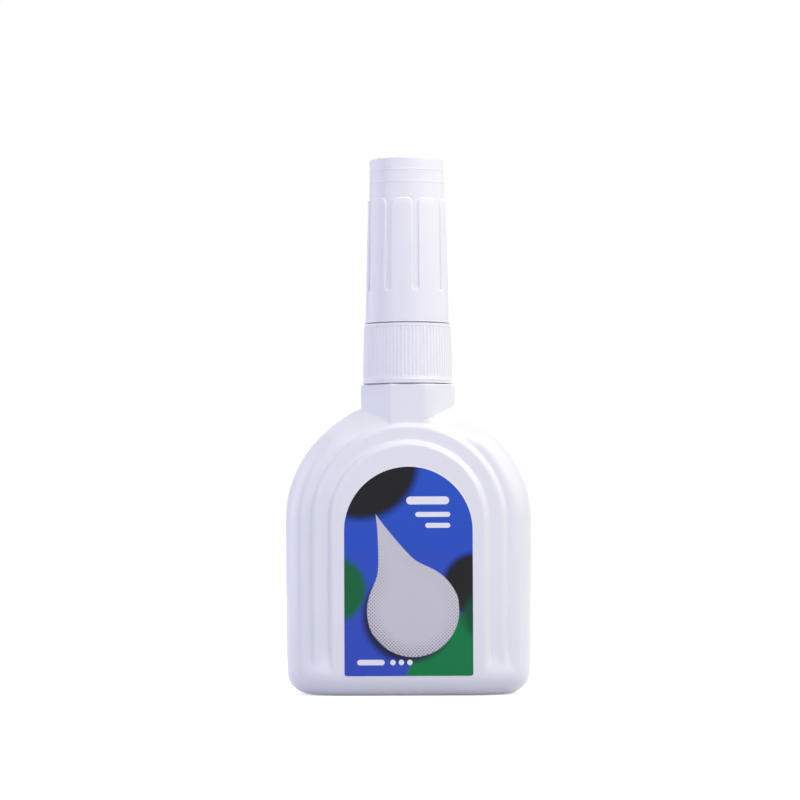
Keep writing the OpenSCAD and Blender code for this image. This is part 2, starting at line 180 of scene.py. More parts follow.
class Workpiece:
    """A mesh on the bench, in millimetres, shaped with Blender's own edit operators."""

    def __init__(self, name: str, primitive: Callable[..., set[str]], **settings: object) -> None:
        """Add a primitive to start from.

        Args:
            name: Name of the piece.
            primitive: The operator that adds the primitive.
            settings: The operator's settings.
        """
        bpy.ops.object.select_all(action="DESELECT")
        primitive(**settings)
        self.obj: Object = bpy.context.object
        self.obj.name = name
        self.obj.data.name = name

    @contextmanager
    def editing(self) -> Iterator[None]:
        """Edit mode with nothing selected, and object mode again afterwards."""
        bpy.ops.object.select_all(action="DESELECT")
        bpy.context.view_layer.objects.active = self.obj
        self.obj.select_set(True)
        bpy.ops.object.mode_set(mode="EDIT")
        bpy.ops.mesh.select_all(action="DESELECT")
        yield
        bpy.ops.object.mode_set(mode="OBJECT")

    @contextmanager
    def picking(self, pick: Pick) -> Iterator[bmesh.types.BMesh]:
        """The edit mesh with nothing selected, written back afterwards.

        Args:
            pick: What is going to be selected.

        Yields:
            The edit mesh.
        """
        bpy.ops.mesh.select_mode(type=pick.value)
        bpy.ops.mesh.select_all(action="DESELECT")
        mesh = bmesh.from_edit_mesh(self.obj.data)
        yield mesh
        bmesh.update_edit_mesh(self.obj.data)

    def pick_points(self, test: Callable[[Vector], bool]) -> None:
        """Select points.

        Args:
            test: Takes a point's place, and says whether it is wanted.
        """
        with self.picking(Pick.POINTS) as mesh:
            for vert in mesh.verts:
                vert.select_set(test(vert.co))
            mesh.select_flush(True)

    def pick_edges(self, test: Callable[[Vector, Vector], bool]) -> None:
        """Select edges.

        Args:
            test: Takes the places of an edge's two ends, and says whether it is wanted.
        """
        with self.picking(Pick.EDGES) as mesh:
            for edge in mesh.edges:
                edge.select_set(test(edge.verts[0].co, edge.verts[1].co))

    def pick_faces(self, test: Callable[[Vector], bool]) -> None:
        """Select faces.

        Args:
            test: Takes the middle of a face, and says whether it is wanted.
        """
        with self.picking(Pick.FACES) as mesh:
            for face in mesh.faces:
                face.select_set(test(face.calc_center_median()))

    def slice_at(self, way: tuple[int, int, int], places: Iterable[float]) -> None:
        """Cut the mesh across with planes, so that it bends and turns smoothly.

        Args:
            way: The direction that the planes face.
            places: Where each plane stands along it.
        """
        for place in places:
            bpy.ops.mesh.select_all(action="SELECT")
            bpy.ops.mesh.bisect(plane_co=[place * share for share in way], plane_no=way)

    def shape(self, place: Callable[[Vector], Sequence[float]]) -> None:
        """Move every point.

        Args:
            place: Takes a point's place, and gives its new one.
        """
        for vert in self.obj.data.vertices:
            vert.co = place(vert.co.copy())
        self.obj.data.update()

    def tidy(self) -> None:
        """Merge doubles and turn all faces outwards."""
        with self.editing():
            bpy.ops.mesh.select_all(action="SELECT")
            bpy.ops.mesh.remove_doubles(threshold=WELD)
            bpy.ops.mesh.normals_make_consistent(inside=False)

    def modify(self, kind: str, **settings: object) -> None:
        """Add a modifier and apply it.

        Args:
            kind: The modifier's type.
            settings: Its settings.
        """
        bpy.ops.object.select_all(action="DESELECT")
        bpy.context.view_layer.objects.active = self.obj
        self.obj.select_set(True)
        modifier = self.obj.modifiers.new(kind.lower(), kind)
        for key, value in settings.items():
            setattr(modifier, key, value)
        bpy.ops.object.modifier_apply(modifier=modifier.name)

    def unite(self, other: "Workpiece") -> None:
        """Unite this piece with another one, which is used up."""
        self.modify("BOOLEAN", object=other.obj, operation="UNION", solver="EXACT")
        bpy.data.objects.remove(other.obj)

    def settle(self, body: Body, finish: Material, slot: str, *nodes: str) -> Object:
        """Bring the piece to metres, shade it and hand it to the frame.

        Args:
            body: The body that it rides on.
            finish: Its material.
            slot: The record's material slot; it is not used.
            nodes: The frame's nodes that it stands for.

        Returns:
            The finished object.
        """
        self.obj.data.transform(self.obj.matrix_basis)
        self.obj.matrix_basis = Matrix.Identity(4)
        self.obj.data.transform(Matrix.Scale(MM, 4))
        self.obj.data.materials.clear()
        self.obj.data.materials.append(finish)
        bpy.ops.object.select_all(action="DESELECT")
        bpy.context.view_layer.objects.active = self.obj
        self.obj.select_set(True)
        bpy.ops.object.shade_smooth_by_angle(angle=math.radians(CREASE))
        self.modify("WEIGHTED_NORMAL", keep_sharp=True)
        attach(self.obj, body.value)
        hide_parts(*nodes)
        LOG.info("%s: %d faces on %s", self.obj.name, len(self.obj.data.polygons), body.value)
        return self.obj


class Ring(Workpiece):
    """A closed outline laid out from a circle primitive, ready to be filled or spun."""

    def __init__(self, name: str, points: Sequence[Sequence[float]], closed: bool = True) -> None:
        """Lay a circle's points out along an outline.

        Args:
            name: Name of the piece.
            points: The outline's points in space.
            closed: Whether the last point stays joined to the first one.
        """
        super().__init__(name, bpy.ops.mesh.primitive_circle_add, vertices=len(points))
        for vert, point in zip(self.obj.data.vertices, points):
            vert.co = point
        if not closed:
            last = len(points) - 1
            with self.editing():
                self.pick_edges(lambda a, b: {tuple(a), tuple(b)} == {
                    tuple(self.obj.data.vertices[0].co), tuple(self.obj.data.vertices[last].co)})
                bpy.ops.mesh.delete(type="EDGE")


    def pull_out(self, depth: float) -> None:
        """Fill an outline that faces along Y, and pull the face out.

        Args:
            depth: How far along Y.
        """
        bpy.ops.mesh.select_all(action="SELECT")
        bpy.ops.mesh.edge_face_add()
        bpy.ops.mesh.extrude_region_move(TRANSFORM_OT_translate={"value": (0, depth, 0)})


class Turning(Ring):
    """A piece turned on the lathe: an outline of (radius, height) spun round the Z axis."""

    def __init__(self, name: str, outline: Sequence[Point], steps: int = 96) -> None:
        """Spin the outline into a closed shell.

        Args:
            name: Name of the piece.
            outline: Closed outline, or one that starts and ends on the axis.
            steps: Number of steps round the axis.
        """
        closed = outline[0][0] > WELD
        super().__init__(name, [(r, 0, z) for r, z in outline], closed)
        with self.editing():
            bpy.ops.mesh.select_all(action="SELECT")
            bpy.ops.mesh.spin(steps=steps, angle=math.tau, center=(0, 0, 0), axis=(0, 0, 1))
        self.tidy()


def linear(colour: str) -> tuple[float, float, float, float]:
    """An sRGB hex colour as linear red, green, blue and alpha."""
    shares = [int(colour[i:i + 2], 16) / 255 for i in (1, 3, 5)]
    return (*[s / 12.92 if s <= 0.04045 else ((s + 0.055) / 1.055) ** 2.4 for s in shares], 1.0)


def add_node(tree: NodeTree, kind: str, inputs: dict[str | int, object] | None = None,
             **settings: object) -> Node:
    """Add a shader node with its settings, values and links.

    Args:
        tree: The material's or world's node tree.
        kind: The node's type, such as ShaderNodeTexNoise.
        inputs: What each input gets, by its name or number: a value, an output socket, or a node,
            which stands for its first output.
        settings: The node's own properties.

    Returns:
        The new node.
    """
    node = tree.nodes.new(kind)
    for key, value in settings.items():
        setattr(node, key, value)
    for key, value in (inputs or {}).items():
        source = value.outputs[0] if isinstance(value, Node) else value
        if isinstance(source, NodeSocket):
            tree.links.new(source, node.inputs[key])
        else:
            node.inputs[key].default_value = source
    return node


@dataclass(frozen=True)
class Finish:
    """What every surface finish has: its name, its colour and how it reflects."""

    name: str
    colour: str
    roughness: float
    ior: float = 1.5
    metallic: float = 0.0
    specular: float = 0.5

    def make(self) -> Material:
        """Make the material.

        Returns:
            A node material on object coordinates.
        """
        material = bpy.data.materials.new(self.name)
        material.use_nodes = True
        tree = material.node_tree
        shader = tree.nodes["Principled BSDF"]
        for key, value in (("Base Color", linear(self.colour)), ("Roughness", self.roughness),
                           ("Metallic", self.metallic), ("IOR", self.ior),
                           ("Specular IOR Level", self.specular)):
            shader.inputs[key].default_value = value
        self.dress(tree, shader, add_node(tree, "ShaderNodeTexCoord").outputs["Object"])
        return material

    def dress(self, tree: NodeTree, shader: Node, place: NodeSocket) -> None:
        """Add the finish's own patterns. The plain finish has none.

        Args:
            tree: The material's node tree.
            shader: Its Principled shader.
            place: The place on the object, in metres.
        """


@dataclass(frozen=True)
class Plastic(Finish):
    """Glossy moulded or blown plastic.

    The colour drifts a little where the wall's thickness changes, the skin has a slow waviness
    from shrinkage, and a fine orange peel softens the edges of the reflections.
    """

    shade: str = "#dcdce8"
    # Length of the drift in colour and of the changes in gloss, in millimetres
    drift: float = 14.0
    handling: float = 6.0
    # Least and most roughness, as shares of the finish's own
    sheen: tuple[float, float] = (0.95, 1.1)
    # Length and depth of the slow waves in the skin, in millimetres
    wave: float = 9.0
    wave_depth: float = 0.02
    # Length and depth of the fine orange peel, in millimetres
    peel: float = 1.3
    peel_depth: float = 0.0008

    def dress(self, tree: NodeTree, shader: Node, place: NodeSocket) -> None:
        """Add drifting colour, uneven gloss, slow waves and orange peel.

        Args:
            tree: The material's node tree.
            shader: Its Principled shader.
            place: The place on the object, in metres.
        """
        drift = add_node(tree, "ShaderNodeTexNoise", {"Vector": place,
                                                      "Scale": 1 / (self.drift * MM)})
        tint = add_node(tree, "ShaderNodeMix", {0: drift, 6: linear(self.colour),
                                                7: linear(self.shade)}, data_type="RGBA")
        tree.links.new(tint.outputs[2], shader.inputs["Base Color"])
        handled = add_node(tree, "ShaderNodeTexNoise", {
            "Vector": place, "Scale": 1 / (self.handling * MM), "Detail": 1.0})
        gloss = add_node(tree, "ShaderNodeMapRange", {
            "Value": handled, "To Min": self.roughness * self.sheen[0],
            "To Max": self.roughness * self.sheen[1]})
        tree.links.new(gloss.outputs[0], shader.inputs["Roughness"])
        slow = add_node(tree, "ShaderNodeTexNoise", {
            "Vector": place, "Scale": 1 / (self.wave * MM), "Detail": 1.0})
        waves = add_node(tree, "ShaderNodeBump", {"Height": slow,
                                                  "Distance": self.wave_depth * MM})
        fine = add_node(tree, "ShaderNodeTexNoise", {
            "Vector": place, "Scale": 1 / (self.peel * MM), "Detail": 0.5})
        peel = add_node(tree, "ShaderNodeBump", {
            "Height": fine, "Distance": self.peel_depth * MM, "Normal": waves})
        tree.links.new(peel.outputs[0], shader.inputs["Normal"])


@dataclass(frozen=True)
class BlownPlastic(Plastic):
    """Plastic blown into a mould of two halves.

    They leave a fine raised line where they met, in the plane Y = 0: up both sides of the bottle,
    over its neck block and across its base, where the tube of plastic was pinched off.
    """

    line_w: float = 0.3
    line_h: float = 0.03

    def dress(self, tree: NodeTree, shader: Node, place: NodeSocket) -> None:
        """Add the plastic's own look, and the parting line over it.

        Args:
            tree: The material's node tree.
            shader: Its Principled shader.
            place: The place on the object, in metres.
        """
        super().dress(tree, shader, place)
        skin = shader.inputs["Normal"].links[0].from_socket
        across = add_node(tree, "ShaderNodeSeparateXYZ", {0: place}).outputs["Y"]
        off = add_node(tree, "ShaderNodeMath", {0: across}, operation="ABSOLUTE")
        ridge = add_node(tree, "ShaderNodeMapRange", {
            "Value": off, "From Max": self.line_w / 2 * MM, "To Min": 1.0, "To Max": 0.0},
            interpolation_type="SMOOTHSTEP")
        line = add_node(tree, "ShaderNodeBump", {
            "Height": ridge, "Distance": self.line_h * MM, "Normal": skin})
        tree.links.new(line.outputs[0], shader.inputs["Normal"])


@dataclass(frozen=True)
class Grained(Finish):
    """A surface with an uneven tone and a fine grain that scatters its gloss."""

    shade: str = "#808080"
    # Size of the patches of uneven tone, and size and depth of the grain, in millimetres
    patch: float = 3.0
    grain: float = 0.3
    grain_depth: float = 0.004
    # How far the roughness strays, as a share of it
    stray: float = 0.2
    # Round cells, as in foam, in place of an even grain
    cells: bool = False

    def dress(self, tree: NodeTree, shader: Node, place: NodeSocket) -> None:
        """Add the patches, the uneven gloss and the grain.

        Args:
            tree: The material's node tree.
            shader: Its Principled shader.
            place: The place on the object, in metres.
        """
        patches = add_node(tree, "ShaderNodeTexNoise", {
            "Vector": place, "Detail": 3.0, "Scale": 1 / (self.patch * MM)})
        tint = add_node(tree, "ShaderNodeMix", {0: patches, 6: linear(self.colour),
                                                7: linear(self.shade)}, data_type="RGBA")
        tree.links.new(tint.outputs[2], shader.inputs["Base Color"])
        gloss = add_node(tree, "ShaderNodeMapRange", {
            "Value": patches, "To Min": self.roughness * (1 - self.stray),
            "To Max": self.roughness * (1 + self.stray)})
        tree.links.new(gloss.outputs[0], shader.inputs["Roughness"])
        grain = add_node(tree, "ShaderNodeTexVoronoi" if self.cells else "ShaderNodeTexNoise",
                         {"Vector": place, "Scale": 1 / (self.grain * MM)})
        relief = add_node(tree, "ShaderNodeBump", {"Height": grain,
                                                   "Distance": self.grain_depth * MM})
        tree.links.new(relief.outputs[0], shader.inputs["Normal"])


@dataclass(frozen=True)
class TurnedSteel(Finish):
    """Steel from the lathe, whose fine tool marks run round the axis and streak its reflections."""

    # The real marks are some 0.03 mm apart, which is too fine to show, so they are drawn coarser
    mark: float = 0.11
    mark_depth: float = 0.0012
    # How much longer the marks are round the axis than along it
    mark_run: float = 50.0
    # Size of the finger marks in millimetres, and the least and most roughness as shares
    finger: float = 1.2
    sheen: tuple[float, float] = (0.7, 1.25)

    def dress(self, tree: NodeTree, shader: Node, place: NodeSocket) -> None:
        """Add the tool marks, and the finger marks that dull the steel in places.

        Args:
            tree: The material's node tree.
            shader: Its Principled shader.
            place: The place on the object, in metres.
        """
        up = add_node(tree, "ShaderNodeVectorMath", {
            0: place, 1: (1 / self.mark_run, 1 / self.mark_run, 1)}, operation="MULTIPLY")
        marks = add_node(tree, "ShaderNodeTexNoise", {"Vector": up, "Scale": 1 / (self.mark * MM)})
        relief = add_node(tree, "ShaderNodeBump", {"Height": marks,
                                                   "Distance": self.mark_depth * MM})
        tree.links.new(relief.outputs[0], shader.inputs["Normal"])
        dull = add_node(tree, "ShaderNodeTexNoise", {"Vector": place,
                                                     "Scale": 1 / (self.finger * MM)})
        gloss = add_node(tree, "ShaderNodeMapRange", {
            "Value": dull, "To Min": self.roughness * self.sheen[0],
            "To Max": self.roughness * self.sheen[1]})
        tree.links.new(gloss.outputs[0], shader.inputs["Roughness"])


@dataclass(frozen=True)
class LabelPrint(Finish):
    """Glossy film with print under its clear face, cut out of a white sheet.

    Soft fields of colour run into each other, a pale drop lies over them and is shaded with
    halftone dots, and plain bars and dots stand where a label has its print. The film's cut edge
    shows white.
    """

    # The ground's colour low on the label, and the heights between which it turns to the colour
    low_colour: str = "#374eba"
    rise: tuple[float, float] = (4.0, 46.0)
    pale: str = "#d2cfd4"
    dot_colour: str = "#93909a"
    white: str = "#f0f0f4"
    front: float = -10.9
    # Depth of the film's cut edge that shows
    cut: float = 0.015
    # Fields of colour: middle, radius and width of the soft edge in millimetres, and colour
    fields: tuple[tuple[float, float, float, float, str], ...] = (
        (-9.5, 47.0, 11.5, 1.2, "#0d0d12"), (13.2, 22.5, 6.2, 0.9, "#0d0d12"),
        (-15.0, 21.5, 6.5, 1.0, "#0c6138"), (14.5, 2.0, 15.0, 0.5, "#067a42"),
        (15.5, 16.0, 4.6, 1.5, "#0a4a30"), (0.0, 16.1, 9.2, 1.0, "#12173a"))
    # The drop: middle and radius of its round end, length of its tip and lean to the left
    drop_x: float = 0.9
    drop_z: float = 17.2
    drop_r: float = 9.2
    drop_reach: float = 24.5
    drop_lean: float = 21.0
    # Half of the width of its soft edge
    drop_edge: float = 0.08
    # Its flanks: share of the radius, how hollow they run, how far they are drawn in, and how
    # widely they blend into the round end
    flank: float = 0.95
    flank_hollow: float = 1.35
    flank_inset: float = 0.7
    flank_blend: float = 3.0
    # Its shading: width of the dark rim, where the light comes from, and the shade on that side
    rim: float = 4.5
    light: tuple[float, float, float] = (-0.5, 0, -0.87)
    light_from: float = -10.0
    light_to: float = 8.0
    lit_shade: float = 0.25
    # Distance between halftone dots along the rows, their growth with the shade, their edge, and
    # how far they run past the drop's
    dot_gap: float = 0.5
    dot_growth: float = 1.1
    dot_edge: float = 1.3
    dot_past: float = 0.1
    # Plain white marks: half of the soft edge, and for each one its middle, half of the straight
    # length, and half of the height
    mark_edge: float = 0.06
    marks: tuple[tuple[float, float, float, float], ...] = (
        (3.9, 39.3, 3.5, 0.8), (4.9, 36.5, 3.0, 0.5), (5.9, 34.3, 2.0, 0.5),
        (-7.6, 6.9, 2.2, 0.55), (-3.2, 6.9, 0.0, 0.55), (-1.5, 6.9, 0.0, 0.55),
        (0.2, 6.9, 0.0, 0.55))
    # Length and depth of the film's slow waves, and the least and most roughness as shares
    wave: float = 6.0
    wave_depth: float = 0.006
    sheen: tuple[float, float] = (0.95, 1.1)

    def drop(self, tree: NodeTree, flat: NodeSocket) -> tuple[NodeSocket, NodeSocket]:
        """The drop's outline and shading.

        Args:
            tree: The material's node tree.
            flat: The place on the label, in millimetres.

        Returns:
            How far a point lies outside the drop, and how dark it is shaded.
        """
        lean = math.radians(self.drop_lean)
        spoke = add_node(tree, "ShaderNodeVectorMath", {
            0: flat, 1: (self.drop_x, 0, self.drop_z)}, operation="SUBTRACT")
        reach = add_node(tree, "ShaderNodeVectorMath", {0: spoke}, operation="LENGTH")
        round_end = add_node(tree, "ShaderNodeMath", {0: reach.outputs["Value"], 1: self.drop_r},
                             operation="SUBTRACT")
        along, across, down = [
            add_node(tree, "ShaderNodeVectorMath", {0: spoke, 1: way},
                     operation="DOT_PRODUCT").outputs["Value"]
            for way in ((-math.sin(lean), 0, math.cos(lean)), (math.cos(lean), 0, math.sin(lean)),
                        self.light)]
        off = add_node(tree, "ShaderNodeMath", {0: across}, operation="ABSOLUTE")
        left = add_node(tree, "ShaderNodeMapRange", {
            "Value": along, "From Max": self.drop_reach, "To Min": 1.0, "To Max": 0.0})
        taper = add_node(tree, "ShaderNodeMath", {0: left, 1: self.flank_hollow},
                         operation="POWER")
        flank = add_node(tree, "ShaderNodeMath", {0: taper, 1: -self.flank * self.drop_r, 2: off},
                         operation="MULTIPLY_ADD")
        below = add_node(tree, "ShaderNodeMath", {0: along, 1: -1.0}, operation="MULTIPLY")
        tip = add_node(tree, "ShaderNodeMath", {0: flank, 1: self.flank_inset}, operation="ADD")
        tip = add_node(tree, "ShaderNodeMath", {0: tip, 1: below}, operation="MAXIMUM")
        outside = add_node(tree, "ShaderNodeMath", {0: round_end, 1: tip, 2: self.flank_blend},
                           operation="SMOOTH_MIN").outputs[0]
        rim = add_node(tree, "ShaderNodeMapRange", {
            "Value": outside, "From Min": -self.rim, "From Max": 0.0},
            interpolation_type="SMOOTHSTEP")
        side = add_node(tree, "ShaderNodeMapRange", {
            "Value": down, "From Min": self.light_from, "From Max": self.light_to,
            "To Min": self.lit_shade})
        shade = add_node(tree, "ShaderNodeMath", {0: rim, 1: side}, operation="MULTIPLY")
        return outside, shade.outputs[0]

    def halftone(self, tree: NodeTree, flat: NodeSocket, shade: NodeSocket) -> NodeSocket:
        """Dots in slanting rows that grow with the shade.

        Args:
            tree: The material's node tree.
            flat: The place on the label, in millimetres.
            shade: How dark the place is.

        Returns:
            1 inside a dot and 0 outside.
        """
        turns = math.pi * math.sqrt(2) / self.dot_gap
        grid = add_node(tree, "ShaderNodeVectorMath", {0: flat, 1: (turns, 0, turns)},
                        operation="MULTIPLY")
        waves = add_node(tree, "ShaderNodeVectorMath", {0: grid}, operation="SINE")
        parts = add_node(tree, "ShaderNodeSeparateXYZ", {0: waves}).outputs
        peaks = add_node(tree, "ShaderNodeMath", {0: parts["X"], 1: parts["Z"]},
                         operation="MULTIPLY")
        grown = add_node(tree, "ShaderNodeMath", {0: shade, 1: self.dot_growth, 2: peaks},
                         operation="MULTIPLY_ADD")
        return add_node(tree, "ShaderNodeMapRange", {
            "Value": grown, "From Min": 1.0, "From Max": self.dot_edge}).outputs[0]

    def layers(self, tree: NodeTree, flat: NodeSocket,
               place: NodeSocket) -> Iterator[tuple[NodeSocket, float, float, str]]:
        """The colours that are laid over the ground, from the lowest one up.

        Args:
            tree: The material's node tree.
            flat: The place on the label, in millimetres.
            place: The place on the object, in metres.

        Yields:
            A measure, the limit below which the colour covers, half of its soft edge, and the
            colour.
        """
        for x, z, radius, soft, colour in self.fields:
            reach = add_node(tree, "ShaderNodeVectorMath", {0: flat, 1: (x, 0, z)},
                             operation="DISTANCE")
            yield reach.outputs["Value"], radius, soft, colour
        outside, shade = self.drop(tree, flat)
        yield outside, 0.0, self.drop_edge, self.pale
        inside = add_node(tree, "ShaderNodeMath", {0: outside, 1: self.dot_past},
                          operation="LESS_THAN")
        dots = add_node(tree, "ShaderNodeMath", {0: inside, 1: self.halftone(tree, flat, shade)},
                        operation="MULTIPLY")
        # A layer covers where its measure is low, so the dots are turned round: -1 inside a dot
        dots = add_node(tree, "ShaderNodeMath", {0: dots, 1: -1.0}, operation="MULTIPLY")
        yield dots.outputs[0], -0.5, 0.5, self.dot_colour
        for x, z, half, height in self.marks:
            gap = flat
            for operation, value in (("SUBTRACT", (x, 0, z)), ("ABSOLUTE", (0, 0, 0)),
                                     ("SUBTRACT", (half, 0, 0)), ("MAXIMUM", (0, 0, 0))):
                gap = add_node(tree, "ShaderNodeVectorMath", {0: gap, 1: value},
                               operation=operation)
            reach = add_node(tree, "ShaderNodeVectorMath", {0: gap}, operation="LENGTH")
            yield reach.outputs["Value"], height, self.mark_edge, self.white
        # Behind the printed face the film's cut edge shows its white
        depth = add_node(tree, "ShaderNodeSeparateXYZ", {0: place}).outputs["Y"]
        edge = add_node(tree, "ShaderNodeMath", {0: depth, 1: -1 / MM}, operation="MULTIPLY")
        yield edge.outputs[0], -self.front - self.cut, 0.005, self.white

    def dress(self, tree: NodeTree, shader: Node, place: NodeSocket) -> None:
        """Lay the print down from the ground up, one colour over the other.

        Args:
            tree: The material's node tree.
            shader: Its Principled shader.
            place: The place on the object, in metres.
        """
        flat = add_node(tree, "ShaderNodeVectorMath", {0: place, 1: (1 / MM, 0, 1 / MM)},
                        operation="MULTIPLY").outputs[0]
        height = add_node(tree, "ShaderNodeSeparateXYZ", {0: flat}).outputs["Z"]
        rise = add_node(tree, "ShaderNodeMapRange", {
            "Value": height, "From Min": self.rise[0], "From Max": self.rise[1]})
        ink = add_node(tree, "ShaderNodeMix", {0: rise, 6: linear(self.low_colour),
                                               7: linear(self.colour)}, data_type="RGBA")
        for value, limit, soft, colour in self.layers(tree, flat, place):
            cover = add_node(tree, "ShaderNodeMapRange", {
                "Value": value, "From Min": limit - soft, "From Max": limit + soft, "To Min": 1.0,
                "To Max": 0.0}, interpolation_type="SMOOTHSTEP")
            ink = add_node(tree, "ShaderNodeMix", {0: cover, 6: ink.outputs[2],
                                                   7: linear(colour)}, data_type="RGBA")
        tree.links.new(ink.outputs[2], shader.inputs["Base Color"])
        slow = add_node(tree, "ShaderNodeTexNoise", {
            "Vector": place, "Scale": 1 / (self.wave * MM), "Detail": 1.0})
        gloss = add_node(tree, "ShaderNodeMapRange", {
            "Value": slow, "To Min": self.roughness * self.sheen[0],
            "To Max": self.roughness * self.sheen[1]})
        tree.links.new(gloss.outputs[0], shader.inputs["Roughness"])
        waves = add_node(tree, "ShaderNodeBump", {"Height": slow,
                                                  "Distance": self.wave_depth * MM})
        tree.links.new(waves.outputs[0], shader.inputs["Normal"])


@dataclass
class BottleShell:
    """The blow-moulded bottle: nested arches on both faces, a neck block and a round neck."""

    arch_z: float = 35.3
    # The two steps of the arches
    step_h: float = 1.15
    riser_w: float = 1.6
    riser_r: float = 1.1
    riser_mids: tuple[float, float] = (15.9, 19.5)
    # Extra rows of points across the flat panel
    panel_rows: tuple[float, float] = (7.0, 12.5)
    # The rounded side
    roll_r: float = 2.8
    roll_w: float = 4.65
    # Towards the neck the rounded side flattens into a slope
    slope_start: float = 20.1
    slope: float = 1.27
    slope_blend: float = 0.8
    # Angles from straight up, in degrees, between which the slope fades out
    slope_fade: tuple[float, float] = (24, 46)
    # The base band: height and inset of its lower round, and the ramp that ends the treads
    edge_r: float = 4.4
    corner_extra: float = 0.8
    corner_x: float = 13.2
    corner_power: float = 2.3
    # Widths from the middle between which the inset grows by the extra at the corners
    corner_grow: tuple[float, float] = (8, 20)
    # Beyond this width the band is sought along rays that fan out, and it is found by halving
    band_x: float = 18.0
    halvings: int = 24
    ramp: float = 0.32
    ramp_r: float = 1.5
    ramp_blend: float = 0.5
    # The sides lean in towards the base, ever more from this height down
    side_draft: float = 0.28
    side_w: float = 9.0
    draft_start: float = 11.55
    draft_power: float = 1.5
    # Heights of rows on the straight sides, and the number of rows down the ramp and the round
    upper_rows: tuple[float, float] = (24.0, 16.0)
    ramp_rows: int = 16
    round_rows: int = 10
    foot_w: float = 1.5
    recess_h: float = 0.6
    # The neck block
    block_w: float = 19.1
    block_d: float = 17.8
    block_foot: float = 55.0
    block_top: float = 62.85
    block_rim: float = 0.3
    # Height of one row of points on its sides
    block_row: float = 0.6
    # How much of its corners is cut off, on the left and on the right
    block_cut: float = 6.1
    right_cut: float = 5.3
    # Rounding of its upright edges, on the left and on the right
    left_edge: float = 0.3
    right_edge: float = 1.2
    # Width of the soft joint between the block and the arches: left, front and right, and the
    # places across the front between which one turns into the next
    left_fillet: float = 0.05
    front_fillet: float = 0.4
    right_fillet: float = 1.4
    left_turn: tuple[float, float] = (-4, -3)
    right_turn: tuple[float, float] = (2, 5)
    # The joint reaches this far below the block's foot
    joint_h: float = 4.0
    # The round neck
    neck_r: float = 7.6
    neck_bore: float = 6.3
    # It stands this deep in the block, and its bore ends this far below the block's top
    neck_root: float = 5.85
    bore_root: float = 1.2
    bead_z: float = 66.1
    bead_r: float = 0.45
    # Steps round the arch
    arch_steps: int = 120
    half_w: float = field(init=False)
    half_d: float = field(init=False)
    neck_top: float = field(init=False)

    def __post_init__(self) -> None:
        """Take the overall sizes from the frame."""
        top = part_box("bottle_body")[1] / MM
        self.half_w, self.neck_top = top.x, top.z
        self.half_d = -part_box("front_label")[1].y / MM

    def riser(self, mid: float, top: float) -> list[Point]:
        """One step of the arches, from its rounded crest to its hollow foot.

        Args:
            mid: Distance of the step's middle from the arch's axis.
            top: Depth of the tread above it.

        Returns:
            The step's section.
        """
        turn = 2 * math.atan(self.step_h / self.riser_w)
        reach = self.riser_w / math.sin(turn)
        crest = (mid - self.riser_r * math.sin(turn), top - self.riser_r)
        hollow = (crest[0] + reach * math.sin(turn), crest[1] + reach * math.cos(turn))
        fall = 90 - math.degrees(turn)
        down = arc(crest, self.riser_r, 90, fall, 6)
        return down[:-1] + arc(hollow, reach - self.riser_r, 180 + fall, 270, 5)

    def section(self) -> list[Point]:
        """The front's section, from the middle of the panel to the parting line.

        Returns:
            Each point as its distance from the arch's axis, and its depth.
        """
        mid_tread = self.half_d - self.step_h
        outer_tread = mid_tread - self.step_h
        start, rise = self.half_w - self.roll_w, outer_tread - self.roll_r
        side_r = (rise ** 2 + self.roll_w ** 2 - self.roll_r ** 2) / (2 * (self.roll_w - self.roll_r))
        turn = math.degrees(math.atan2(rise, start - self.half_w + side_r))
        inner, outer = self.riser_mids
        side = arc((self.half_w - side_r, 0), side_r, turn, 0, 9)
        return ([(row, self.half_d) for row in (0.0, *self.panel_rows)]
                + self.riser(inner, self.half_d) + [((inner + outer) / 2, mid_tread)]
                + self.riser(outer, mid_tread)
                + arc((start, rise), self.roll_r, 90, turn, 8) + side[1:])

    def band(self, x: float, y: float, inset: float) -> Point:
        """Where the base band's outline passes a point of the section.

        Args:
            x: Distance of the point from the middle.
            y: Its depth.
            inset: How far the outline lies inside the band's widest line.

        Returns:
            The outline's point, straight ahead of the given one, or beyond it at the ends.
        """
        wide = self.half_w - self.side_draft - inset - self.corner_x
        deep = self.half_d - inset
        centre = min(x, self.band_x)
        turn = math.atan2(y, x - centre)
        near, far = 0.0, self.half_w
        for _ in range(self.halvings):
            reach = (near + far) / 2
            over = max(0.0, centre + reach * math.cos(turn) - self.corner_x) / wide
            inside = over ** self.corner_power + (reach * math.sin(turn) / deep) ** self.corner_power
            near, far = (reach, far) if inside < 1 else (near, reach)
        return centre + near * math.cos(turn), near * math.sin(turn)

